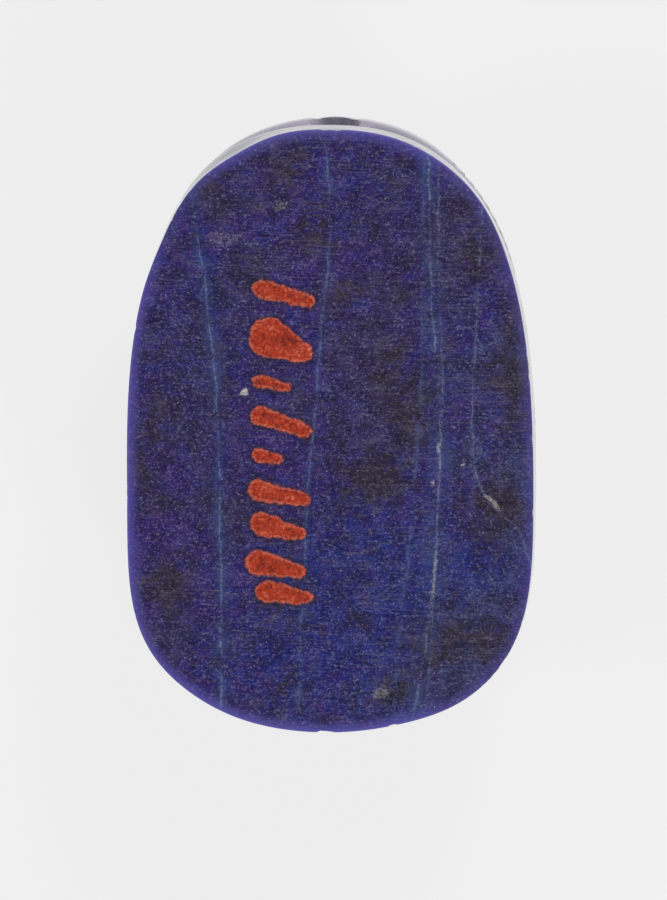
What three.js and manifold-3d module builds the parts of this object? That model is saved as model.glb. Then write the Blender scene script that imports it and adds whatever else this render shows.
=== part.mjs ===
// A scarab amulet of lapis lazuli, carved in one piece and pierced lengthwise for a thread.
// It lies on its back, so that its flat oval base faces up. Millimetres, +Z up, +X across the
// beetle and +Y towards its head. The origin is on the ground below the middle of the base.
//
// Heights are worked out as a rise: the distance from the base's plane towards the beetle's back.

import * as THREE from "three";
import { mergeVertices } from "three/addons/utils/BufferGeometryUtils.js";
import Module from "manifold-3d";

// ---- Driving dimensions ------------------------------------------------------------------

const LENGTH = 19.0;
const WIDTH = 12.7;
const HEIGHT = 8.2;

// The base is an egg-shaped oval. Its powers are those of the superellipses it is made of.
const WIDEST_Y = -0.102 * LENGTH;
const FRONT_POWERS = { across: 2.32, along: 2.93 };
const REAR_POWERS = { across: 1.98, along: 3.69 };

// From the base upwards in the beetle's own terms: the plate, the sunk band with the legs, and
// the back, whose rim overhangs the band.
const PLATE_RISE = 1.5;
const BAND_INSET = 0.95;
const BACK_RIM_RISE = 3.7;
const BACK_RIM_INSET = 0.42;
const BACK_LIP = 0.4;

// The back is a dome with a small worn flat on its crest, on which the amulet lies.
const BACK_CENTRE_Y = -1.2;
const BACK_FRONT_Y = 5.9;
const BACK_PLAN_POWER = 2.3;
const BACK_PROFILE_POWER = 2.25;
const CREST_WORN_AWAY = 0.12;

// The head is a blunt shovel in front of the back, with a toothed arc as its front edge.
const HEAD_HALF_WIDTH = 3.5;
const HEAD_REAR_Y = 4.3;
const CHEEK_FRONT_Y = 6.75;
const HEAD_UNDERSIDE_RISE = 2.3;
const HEAD_ROOF = { rise: 2.0, across: 5.6, along: 5.6, up: 3.0 };
const CLYPEUS = { radius: 3.0, tipInset: 0.02, teeth: 5, notchShare: 0.34, notchDepth: 0.3 };

const LEG_DEPTH = 0.62;
const LINE_RADIUS = 0.17;

const THREAD_HOLE = { radius: 0.75, rise: 2.35 };

// How finely round forms are divided.
const OUTLINE_COLUMNS = 96;
const DOME_BANDS = 11;
const LEG_SECTIONS = 12;
const LEG_SIDES = 8;
const LINE_STEPS = 18;
const LINE_SIDES = 6;
const HOLE_SIDES = 24;

const LAPIS = new THREE.MeshStandardMaterial({ color: 0x3a355d, roughness: 0.32, metalness: 0 });

// ---- Plan outlines -----------------------------------------------------------------------

// A level egg-shaped outline, anticlockwise from the middle of the tail: a superellipse in front
// of its widest line and another behind it.
class EggOutline extends THREE.Curve {
  constructor(halfWidth, widestY, front, rear, frontPowers, rearPowers) {
    super();
    Object.assign(this, { halfWidth, widestY, front, rear, frontPowers, rearPowers });
  }

  getPoint(t, target = new THREE.Vector3()) {
    const angle = 2 * Math.PI * t - Math.PI / 2;
    const [c, s] = [Math.cos(angle), Math.sin(angle)];
    const [powers, reach] = s > 0 ? [this.frontPowers, this.front] : [this.rearPowers, this.rear];
    return target.set(
      this.halfWidth * Math.sign(c) * Math.abs(c) ** (2 / powers.across),
      this.widestY + reach * Math.sign(s) * Math.abs(s) ** (2 / powers.along),
      0,
    );
  }
}

// The base's outline, drawn in all round by an inset.
function baseOutline(inset = 0) {
  const front = LENGTH / 2 - WIDEST_Y - inset;
  const rear = LENGTH / 2 + WIDEST_Y - inset;
  return new EggOutline(WIDTH / 2 - inset, WIDEST_Y, front, rear, FRONT_POWERS, REAR_POWERS);
}

const BACK_HALF_WIDTH = WIDTH / 2 - BACK_RIM_INSET;
const BACK_REAR = BACK_CENTRE_Y + LENGTH / 2 - BACK_RIM_INSET;
const BACK_FRONT = BACK_FRONT_Y - BACK_CENTRE_Y;

// An outline on the back at a share of the way out from the crest (0) to the rim (1).
function backOutline(share) {
  const powers = { across: BACK_PLAN_POWER, along: BACK_PLAN_POWER };
  const [front, rear] = [share * BACK_FRONT, share * BACK_REAR];
  return new EggOutline(share * BACK_HALF_WIDTH, BACK_CENTRE_Y, front, rear, powers, powers);
}

// ---- Turning geometry into solids --------------------------------------------------------

const wasm = await Module();
wasm.setup();

// A closed three.js geometry as a solid that can be joined and cut.
function solidOf(geometry) {
  const bare = geometry.clone();
  bare.deleteAttribute("normal");
  bare.deleteAttribute("uv");
  const merged = mergeVertices(bare, 1e-4);
  return new wasm.Manifold(
    new wasm.Mesh({
      numProp: 3,
      vertProperties: new Float32Array(merged.attributes.position.array),
      triVerts: new Uint32Array(merged.index.array),
    }),
  );
}

function geometryOf(solid) {
  const mesh = solid.getMesh();
  const geometry = new THREE.BufferGeometry();
  geometry.setAttribute("position", new THREE.BufferAttribute(mesh.vertProperties, 3));
  geometry.setIndex(new THREE.BufferAttribute(mesh.triVerts, 1));
  geometry.computeVertexNormals();
  return geometry;
}

// The skin through a stack of rings with equal numbers of points, closed by a fan at each end.
// Each ring runs anticlockwise when it is seen from the stack's far end.
function ringLoft(rings) {
  const count = rings[0].length;
  const points = rings.flat();
  const index = [];
  for (let ring = 0; ring + 1 < rings.length; ring++) {
    for (let i = 0; i < count; i++) {
      const a = ring * count + i;
      const b = ring * count + ((i + 1) % count);
      index.push(a, b, b + count, a, b + count, a + count);
    }
  }
  const addCap = (ring, facesBack) => {
    const first = ring * count;
    const middle = points.length;
    const centre = new THREE.Vector3();
    rings[ring].forEach((point) => centre.addScaledVector(point, 1 / count));
    points.push(centre);
    for (let i = 0; i < count; i++) {
      const edge = [first + i, first + ((i + 1) % count)];
      index.push(middle, ...(facesBack ? edge.reverse() : edge));
    }
  };
  addCap(0, true);
  addCap(rings.length - 1, false);
  return new THREE.BufferGeometry().setFromPoints(points).setIndex(index);
}

// An outline as a ring of evenly spaced points at a rise.
function ringOf(outline, rise) {
  const ring = outline.getSpacedPoints(OUTLINE_COLUMNS);
  ring.pop();
  return ring.map((point) => point.setZ(HEIGHT - rise));
}

// ---- Body: back, band and plate ----------------------------------------------------------

const DOME_RISE = HEIGHT + CREST_WORN_AWAY - BACK_RIM_RISE;

// How far out a plan point lies on the back: 0 at the crest, 1 at the rim.
function backShare(x, y) {
  const reach = y > BACK_CENTRE_Y ? BACK_FRONT : BACK_REAR;
  const across = Math.abs(x / BACK_HALF_WIDTH) ** BACK_PLAN_POWER;
  const along = Math.abs((y - BACK_CENTRE_Y) / reach) ** BACK_PLAN_POWER;
  return (across + along) ** (1 / BACK_PLAN_POWER);
}

// The back's rise at a share of the way out, and the share at a rise, which is the inverse.
function backRise(share) {
  const fall = Math.min(share, 1) ** BACK_PROFILE_POWER;
  const rise = BACK_RIM_RISE + DOME_RISE * (1 - fall) ** (1 / BACK_PROFILE_POWER);
  return Math.min(HEIGHT, rise);
}

function shareAtRise(rise) {
  const height = ((rise - BACK_RIM_RISE) / DOME_RISE) ** BACK_PROFILE_POWER;
  return (1 - height) ** (1 / BACK_PROFILE_POWER);
}

// One loft from the worn flat over the domed back and its overhanging rim, down the sunk band
// to the plate, whose edge is soft below the legs, upright, and a fine arris round the base.
function makeBody() {
  const rings = [];
  const flatShare = shareAtRise(HEIGHT);
  for (let band = 0; band <= DOME_BANDS; band++) {
    const turn = (Math.PI / 2) * (band / DOME_BANDS);
    const share = flatShare + (1 - flatShare) * Math.sin(turn);
    rings.push(ringOf(backOutline(share), backRise(share)));
  }
  rings.push(ringOf(backOutline(0.985), BACK_RIM_RISE - 0.55 * BACK_LIP));
  rings.push(ringOf(backOutline(0.93), BACK_RIM_RISE - BACK_LIP));
  const profile = [
    [BAND_INSET + 0.1, PLATE_RISE + 1.2],
    [BAND_INSET, PLATE_RISE + 0.05],
    [0.3, PLATE_RISE],
    [0.09, PLATE_RISE - 0.07],
    [0, PLATE_RISE - 0.28],
    [0, 0.12],
    [0.035, 0.035],
    [0.12, 0],
  ];
  for (const [inset, rise] of profile) {
    rings.push(ringOf(baseOutline(inset), rise));
  }
  return solidOf(ringLoft(rings));
}

// ---- Head --------------------------------------------------------------------------------

// The head's plan: cheeks that run forwards from under the thorax, then slant in to the arc of
// the clypeus, whose teeth are parted by V-shaped notches.
function headPlan() {
  const arcCentreY = LENGTH / 2 - CLYPEUS.tipInset - CLYPEUS.radius;
  const arcStart = 0.1 * Math.PI;
  const arcSpan = Math.PI - 2 * arcStart;
  const pitch = arcSpan / (CLYPEUS.teeth + (CLYPEUS.teeth - 1) * CLYPEUS.notchShare);
  const onArc = (angle, radius) => [
    radius * Math.cos(angle),
    arcCentreY + radius * Math.sin(angle),
  ];
  const plan = new THREE.Shape();
  plan.moveTo(-HEAD_HALF_WIDTH, HEAD_REAR_Y);
  plan.lineTo(HEAD_HALF_WIDTH, HEAD_REAR_Y);
  plan.lineTo(HEAD_HALF_WIDTH, CHEEK_FRONT_Y);
  for (let tooth = 0; tooth < CLYPEUS.teeth; tooth++) {
    const from = arcStart + tooth * pitch * (1 + CLYPEUS.notchShare);
    for (let step = 0; step <= 4; step++) {
      plan.lineTo(...onArc(from + (pitch * step) / 4, CLYPEUS.radius));
    }
    if (tooth + 1 < CLYPEUS.teeth) {
      const notch = from + pitch * (1 + CLYPEUS.notchShare / 2);
      plan.lineTo(...onArc(notch, CLYPEUS.radius - CLYPEUS.notchDepth));
    }
  }
  plan.lineTo(-HEAD_HALF_WIDTH, CHEEK_FRONT_Y);
  return plan;
}

// The rise of the head's upper surface, an ellipsoid, at a plan point.
function headRise(x, y) {
  const across = (x / HEAD_ROOF.across) ** 2;
  const along = ((y - HEAD_REAR_Y) / HEAD_ROOF.along) ** 2;
  return HEAD_ROOF.rise + HEAD_ROOF.up * Math.sqrt(Math.max(0, 1 - across - along));
}

function makeHead() {
  const slab = new THREE.ExtrudeGeometry(headPlan(), {
    depth: HEIGHT - HEAD_UNDERSIDE_RISE,
    bevelEnabled: false,
    steps: 1,
  });
  const roof = new THREE.SphereGeometry(1, 44, 24);
  roof.rotateX(Math.PI / 2);
  roof.scale(HEAD_ROOF.across, HEAD_ROOF.along, HEAD_ROOF.up);
  roof.translate(0, HEAD_REAR_Y, HEIGHT - HEAD_ROOF.rise);
  return solidOf(slab).intersect(solidOf(roof));
}

// ---- Legs --------------------------------------------------------------------------------

// Legs stand in relief against the band: each slants down from under the back, bends at the
// knee and runs on along the plate. A station's share runs along half the base's outline from
// the tail (0) to the head (1), and its inset is that of the leg's outer face.
const LEGS = {
  front: [
    { share: 0.635, rise: 3.6, halfWidth: 0.56, inset: 0.34 },
    { share: 0.69, rise: 3.05, halfWidth: 0.72, inset: 0.16 },
    { share: 0.745, rise: 2.4, halfWidth: 0.7, inset: 0.07 },
    { share: 0.82, rise: 2.3, halfWidth: 0.64, inset: 0.05 },
    { share: 0.9, rise: 2.35, halfWidth: 0.58, inset: 0.05 },
    { share: 0.965, rise: 2.42, halfWidth: 0.48, inset: 0.08 },
  ],
  middle: [
    { share: 0.605, rise: 3.6, halfWidth: 0.5, inset: 0.34 },
    { share: 0.56, rise: 2.95, halfWidth: 0.64, inset: 0.16 },
    { share: 0.51, rise: 2.3, halfWidth: 0.6, inset: 0.07 },
    { share: 0.45, rise: 2.04, halfWidth: 0.48, inset: 0.07 },
    { share: 0.37, rise: 1.92, halfWidth: 0.34, inset: 0.12 },
  ],
  hind: [
    { share: 0.475, rise: 3.6, halfWidth: 0.56, inset: 0.34 },
    { share: 0.41, rise: 3.2, halfWidth: 0.72, inset: 0.16 },
    { share: 0.335, rise: 2.6, halfWidth: 0.7, inset: 0.07 },
    { share: 0.23, rise: 2.32, halfWidth: 0.64, inset: 0.07 },
    { share: 0.13, rise: 2.28, halfWidth: 0.56, inset: 0.07 },
    { share: 0.06, rise: 2.28, halfWidth: 0.44, inset: 0.14 },
  ],
};

function makeLeg(stations, side) {
  const outline = baseOutline();
  const last = stations.length - 1;
  const route = new THREE.CatmullRomCurve3(
    stations.map(({ share, rise, inset }) => new THREE.Vector3(share, rise, inset)),
    false,
    "catmullrom",
  );
  const axisPoint = (t) => {
    const { x: share, y: rise, z: inset } = route.getPoint(t);
    const tangent = outline.getTangentAt(share / 2);
    const outward = new THREE.Vector3(tangent.y, -tangent.x, 0);
    const axis = outline.getPointAt(share / 2).addScaledVector(outward, -inset - LEG_DEPTH);
    return { axis: axis.setZ(HEIGHT - rise), outward };
  };
  const rings = [];
  for (let section = 0; section <= LEG_SECTIONS; section++) {
    const t = section / LEG_SECTIONS;
    const { axis, outward } = axisPoint(t);
    const ahead = axisPoint(Math.min(1, t + 0.02)).axis;
    const forward = ahead.sub(axisPoint(Math.max(0, t - 0.02)).axis).normalize();
    const across = new THREE.Vector3().crossVectors(outward, forward);
    const from = Math.min(last - 1, Math.floor(t * last));
    const halfWidth = THREE.MathUtils.lerp(
      stations[from].halfWidth,
      stations[from + 1].halfWidth,
      t * last - from,
    );
    const ring = Array.from({ length: LEG_SIDES }, (_, i) => {
      const angle = (2 * Math.PI * (i + 0.5)) / LEG_SIDES;
      const point = axis.clone().addScaledVector(across, halfWidth * Math.cos(angle));
      point.addScaledVector(outward, LEG_DEPTH * Math.sin(angle));
      return point.setX(side * point.x);
    });
    rings.push(side > 0 ? ring : ring.reverse());
  }
  return solidOf(ringLoft(rings));
}

// ---- Carved lines and the thread hole ----------------------------------------------------

// A groove's cutter: a tube along a curve that follows the surface.
function lineCutter(points) {
  const section = new THREE.Shape();
  for (let i = 0; i < LINE_SIDES; i++) {
    const angle = (2 * Math.PI * i) / LINE_SIDES;
    const corner = [LINE_RADIUS * Math.cos(angle), LINE_RADIUS * Math.sin(angle)];
    if (i === 0) section.moveTo(...corner);
    else section.lineTo(...corner);
  }
  return solidOf(
    new THREE.ExtrudeGeometry(section, {
      steps: LINE_STEPS,
      bevelEnabled: false,
      extrudePath: new THREE.CatmullRomCurve3(points),
    }),
  );
}

// Points along a plan line, set on a surface that is given by its rise.
function onSurface(planPoint, riseAt, count = 13) {
  return Array.from({ length: count }, (_, i) => {
    const [x, y] = planPoint(i / (count - 1));
    return new THREE.Vector3(x, y, HEIGHT - riseAt(x, y));
  });
}

const riseOnBack = (x, y) => backRise(backShare(x, y));

// The thorax meets the wing cases along a line that bows forwards at the sides.
const THORAX_LINE = { y: 1.35, bow: 0.85, halfWidth: 5.4 };
const thoraxLineY = (x) => THORAX_LINE.y + THORAX_LINE.bow * (x / THORAX_LINE.halfWidth) ** 2;

// A line across the beetle, with points that crowd towards its steep ends.
function crossLine(halfWidth, yAt, riseAt) {
  return onSurface((t) => {
    const x = halfWidth * Math.sin((t - 0.5) * Math.PI);
    return [x, yAt(x)];
  }, riseAt);
}

// The seam between the wing cases, from the thorax down to the rim at the tail.
function seamLine() {
  const start = Math.asin((BACK_CENTRE_Y - THORAX_LINE.y) / BACK_REAR);
  return onSurface((t) => {
    const turn = THREE.MathUtils.lerp(start, Math.PI / 2, t);
    return [0, BACK_CENTRE_Y - BACK_REAR * Math.sin(turn)];
  }, riseOnBack);
}

// The nick that slants back from the thorax line at each shoulder.
function shoulderLine(side) {
  return onSurface((t) => {
    const x = side * THREE.MathUtils.lerp(3.6, 5.2, t);
    return [x, thoraxLineY(x) - 1.25 * (1 - t) ** 1.5];
  }, riseOnBack, 7);
}

function makeLineCutters() {
  const lines = [
    crossLine(THORAX_LINE.halfWidth, thoraxLineY, riseOnBack),
    crossLine(4.0, (x) => 4.95 - 0.055 * x * x, riseOnBack),
    crossLine(2.6, (x) => 7.3 - 0.12 * x * x, headRise),
    seamLine(),
    shoulderLine(-1),
    shoulderLine(1),
  ];
  return lines.map((points) => lineCutter(points));
}

function makeThreadHole() {
  const hole = new THREE.CylinderGeometry(
    THREAD_HOLE.radius,
    THREAD_HOLE.radius,
    LENGTH + 2,
    HOLE_SIDES,
  );
  hole.translate(0, 0, HEIGHT - THREAD_HOLE.rise);
  return solidOf(hole);
}

// ---- The amulet --------------------------------------------------------------------------

function makeScarab() {
  let solid = makeBody().add(makeHead());
  for (const stations of Object.values(LEGS)) {
    for (const side of [-1, 1]) {
      solid = solid.add(makeLeg(stations, side));
    }
  }
  for (const cutter of makeLineCutters()) {
    solid = solid.subtract(cutter);
  }
  const mesh = new THREE.Mesh(geometryOf(solid.subtract(makeThreadHole())), LAPIS);
  mesh.name = "scarab";
  return mesh;
}

const amulet = new THREE.Group();
amulet.add(makeScarab());
export default amulet;
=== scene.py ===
"""A lapis lazuli scarab amulet that lies on its back, with its flat oval base facing up.

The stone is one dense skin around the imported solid. Sizes are in millimetres, and a point's rise is
its distance below the base's plane, towards the beetle's back. Meshes are handed over in metres.
"""

from __future__ import annotations

import logging
import math
from dataclasses import dataclass, field
from enum import Enum

import bpy
import numpy as np
from mathutils import Matrix, Vector


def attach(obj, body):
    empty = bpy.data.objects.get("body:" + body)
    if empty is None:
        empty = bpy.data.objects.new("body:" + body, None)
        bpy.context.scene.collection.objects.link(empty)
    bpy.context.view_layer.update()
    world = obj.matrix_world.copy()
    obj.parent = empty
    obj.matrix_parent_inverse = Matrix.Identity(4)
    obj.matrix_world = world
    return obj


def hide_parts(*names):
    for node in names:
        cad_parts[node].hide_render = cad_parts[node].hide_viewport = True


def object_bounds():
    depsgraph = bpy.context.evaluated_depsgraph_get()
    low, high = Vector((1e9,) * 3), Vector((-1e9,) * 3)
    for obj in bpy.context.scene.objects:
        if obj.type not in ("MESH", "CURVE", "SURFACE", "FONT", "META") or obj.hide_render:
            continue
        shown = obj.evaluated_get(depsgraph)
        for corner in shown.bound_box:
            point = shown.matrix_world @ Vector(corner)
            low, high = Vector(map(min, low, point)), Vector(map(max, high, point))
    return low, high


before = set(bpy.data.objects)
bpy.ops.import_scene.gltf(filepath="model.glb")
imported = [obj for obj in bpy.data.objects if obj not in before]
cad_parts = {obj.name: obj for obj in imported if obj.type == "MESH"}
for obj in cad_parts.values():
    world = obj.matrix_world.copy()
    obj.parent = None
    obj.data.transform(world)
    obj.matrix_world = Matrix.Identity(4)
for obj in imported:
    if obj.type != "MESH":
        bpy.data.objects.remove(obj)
CAD_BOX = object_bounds()

LOG = logging.getLogger("scarab")
MM = 0.001
LENGTH = (CAD_BOX[1].y - CAD_BOX[0].y) / MM
WIDTH = (CAD_BOX[1].x - CAD_BOX[0].x) / MM
HEIGHT = (CAD_BOX[1].z - CAD_BOX[0].z) / MM

Array = np.ndarray
Colour = tuple[float, float, float]
Object = bpy.types.Object
Tree = bpy.types.NodeTree
Node = bpy.types.Node
Socket = bpy.types.NodeSocket
Sockets = bpy.types.bpy_prop_collection
Value = Socket | float | int | bool | str | tuple | None


def shade(red: int, green: int, blue: int) -> Colour:
    """Turns a display colour, 0 to 255, into the linear colour that shaders read.

    Args:
        red: Red share, 0 to 255.
        green: Green share.
        blue: Blue share.

    Returns:
        The linear colour.
    """
    linear = [
        c / 12.92 if c <= 0.04045 else ((c + 0.055) / 1.055) ** 2.4
        for c in (red / 255, green / 255, blue / 255)
    ]
    return (linear[0], linear[1], linear[2])


def placed(name: str, data: bpy.types.ID) -> Object:
    """Makes an object in the scene.

    Args:
        name: The object's name.
        data: Its mesh, lamp or camera.

    Returns:
        The object.
    """
    made = bpy.data.objects.new(name, data)
    bpy.context.scene.collection.objects.link(made)
    return made


# ---- Form of the stone ---------------------------------------------------------------------


def soft_min(a: Array, b: Array, radius: float) -> Array:
    """Joins two distance fields with a fillet of about the given radius."""
    share = np.clip(0.5 + 0.5 * (b - a) / radius, 0, 1)
    return b + (a - b) * share - radius * share * (1 - share)


def soft_max(a: Array, b: Array, radius: float) -> Array:
    """Cuts one distance field by another, with the edge eased by a radius."""
    return -soft_min(-a, -b, radius)


def ease(values: Array, low: float, high: float) -> Array:
    """A smooth step from 0 at low to 1 at high."""
    t = np.clip((values - low) / (high - low), 0, 1)
    return t * t * (3 - 2 * t)


@dataclass(frozen=True)
class EggOutline:
    """A level outline made of a superellipse in front of its widest line and one behind."""

    half_width: float
    widest_y: float
    front: float
    rear: float
    front_powers: tuple[float, float]
    rear_powers: tuple[float, float]

    def point(self, turn: Array) -> Array:
        """Points at angles that start at the tail and run to the head by way of +X.

        Args:
            turn: Angles in radians.

        Returns:
            An array of x and y, one row for each angle.
        """
        across, along = np.sin(turn), -np.cos(turn)
        in_front = along > 0
        px = np.where(in_front, self.front_powers[0], self.rear_powers[0])
        py = np.where(in_front, self.front_powers[1], self.rear_powers[1])
        reach = np.where(in_front, self.front, self.rear)
        x = self.half_width * np.sign(across) * np.abs(across) ** (2 / px)
        y = self.widest_y + reach * np.sign(along) * np.abs(along) ** (2 / py)
        return np.stack([x, y], axis=-1)

    def half_by_length(self, count: int) -> Array:
        """Evenly spaced points from the tail to the head on the +X side, both ends included.

        Args:
            count: Number of points.

        Returns:
            One row of x and y for each point.
        """
        dense = self.point(np.linspace(0, math.pi, 6001))
        steps = np.linalg.norm(np.diff(dense, axis=0), axis=1)
        run = np.concatenate([[0.0], np.cumsum(steps)])
        wanted = np.linspace(0, run[-1], count)
        return np.stack([np.interp(wanted, run, dense[:, k]) for k in (0, 1)], axis=-1)

    @property
    def half_length(self) -> float:
        """Length of the outline from the tail to the head along one side."""
        dense = self.point(np.linspace(0, math.pi, 6001))
        return float(np.linalg.norm(np.diff(dense, axis=0), axis=1).sum())


@dataclass(frozen=True)
class LegStation:
    """A place on a leg: share of the half outline, rise, half width and inset of its face."""

    share: float
    rise: float
    half_width: float
    inset: float


class Leg(Enum):
    """The three legs of one side, each from under the back to its foot."""

    FRONT = (
        LegStation(0.635, 3.6, 0.56, 0.34),
        LegStation(0.69, 3.05, 0.72, 0.16),
        LegStation(0.745, 2.4, 0.7, 0.07),
        LegStation(0.82, 2.3, 0.64, 0.05),
        LegStation(0.89, 2.52, 0.6, 0.0),
        LegStation(0.966, 2.9, 0.54, -0.03),
    )
    MIDDLE = (
        LegStation(0.605, 3.6, 0.5, 0.34),
        LegStation(0.56, 2.95, 0.64, 0.16),
        LegStation(0.51, 2.3, 0.6, 0.07),
        LegStation(0.45, 2.04, 0.48, 0.07),
        LegStation(0.37, 1.92, 0.34, 0.12),
    )
    HIND = (
        LegStation(0.475, 3.6, 0.56, 0.34),
        LegStation(0.41, 3.2, 0.72, 0.16),
        LegStation(0.335, 2.6, 0.7, 0.07),
        LegStation(0.23, 2.32, 0.64, 0.07),
        LegStation(0.13, 2.28, 0.56, 0.07),
        LegStation(0.06, 2.28, 0.44, 0.14),
    )

    def smoothed(self, per_span: int = 6) -> Array:
        """Catmull-Rom points through the stations: share, rise, half width and inset.

        Args:
            per_span: Points from one station to the next.

        Returns:
            One row for each point.
        """
        rows = np.array([[s.share, s.rise, s.half_width, s.inset] for s in self.value])
        padded = np.vstack([2 * rows[0] - rows[1], rows, 2 * rows[-1] - rows[-2]])
        points = []
        for span in range(len(rows) - 1):
            p0, p1, p2, p3 = padded[span : span + 4]
            for t in np.arange(per_span) / per_span:
                points.append(
                    0.5
                    * (
                        2 * p1
                        + (p2 - p0) * t
                        + (2 * p0 - 5 * p1 + 4 * p2 - p3) * t**2
                        + (3 * p1 - p0 - 3 * p2 + p3) * t**3
                    )
                )
        points.append(rows[-1])
        return np.array(points)


@dataclass(frozen=True)
class PlateSizes:
    """The base plate."""

    rise: float = 1.5
    arris: float = 0.065
    lower_round: float = 0.26


@dataclass(frozen=True)
class BackSizes:
    """The domed back: wing cases and thorax, with their overhanging rim."""

    rim_rise: float = 3.7
    rim_inset: float = 0.42
    lip: float = 0.4
    centre_y: float = -1.2
    front_y: float = 5.9
    plan_power: float = 2.3
    profile_power: float = 2.25
    crest_worn: float = 0.12
    dome_scale: float = 5.0
    lip_scale: float = 2.0
    lip_power: int = 3


@dataclass(frozen=True)
class HeadSizes:
    """The head, with the toothed arc of the clypeus in front and an eye at each side."""

    half_width: float = 3.5
    rear_y: float = 4.3
    cheek_front_y: float = 6.75
    underside: float = 2.3
    roof_rise: float = 2.0
    roof_across: float = 5.6
    roof_along: float = 6.1
    roof_up: float = 3.0
    clypeus_radius: float = 3.0
    tip_inset: float = -0.02
    teeth: int = 5
    notch_share: float = 0.34
    notch_radius: float = 0.22
    notch_out: float = 0.14
    arc_start: float = 0.1 * math.pi
    cheek_round: float = 0.5
    plan_round: float = 0.35
    notch_round: float = 0.12
    roof_round: float = 0.22
    under_round: float = 0.2
    roof_slope: float = 0.85
    eye: tuple[float, float, float] = (3.0, 6.2, 3.85)
    eye_radius: float = 0.55
    eye_round: float = 0.15


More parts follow.
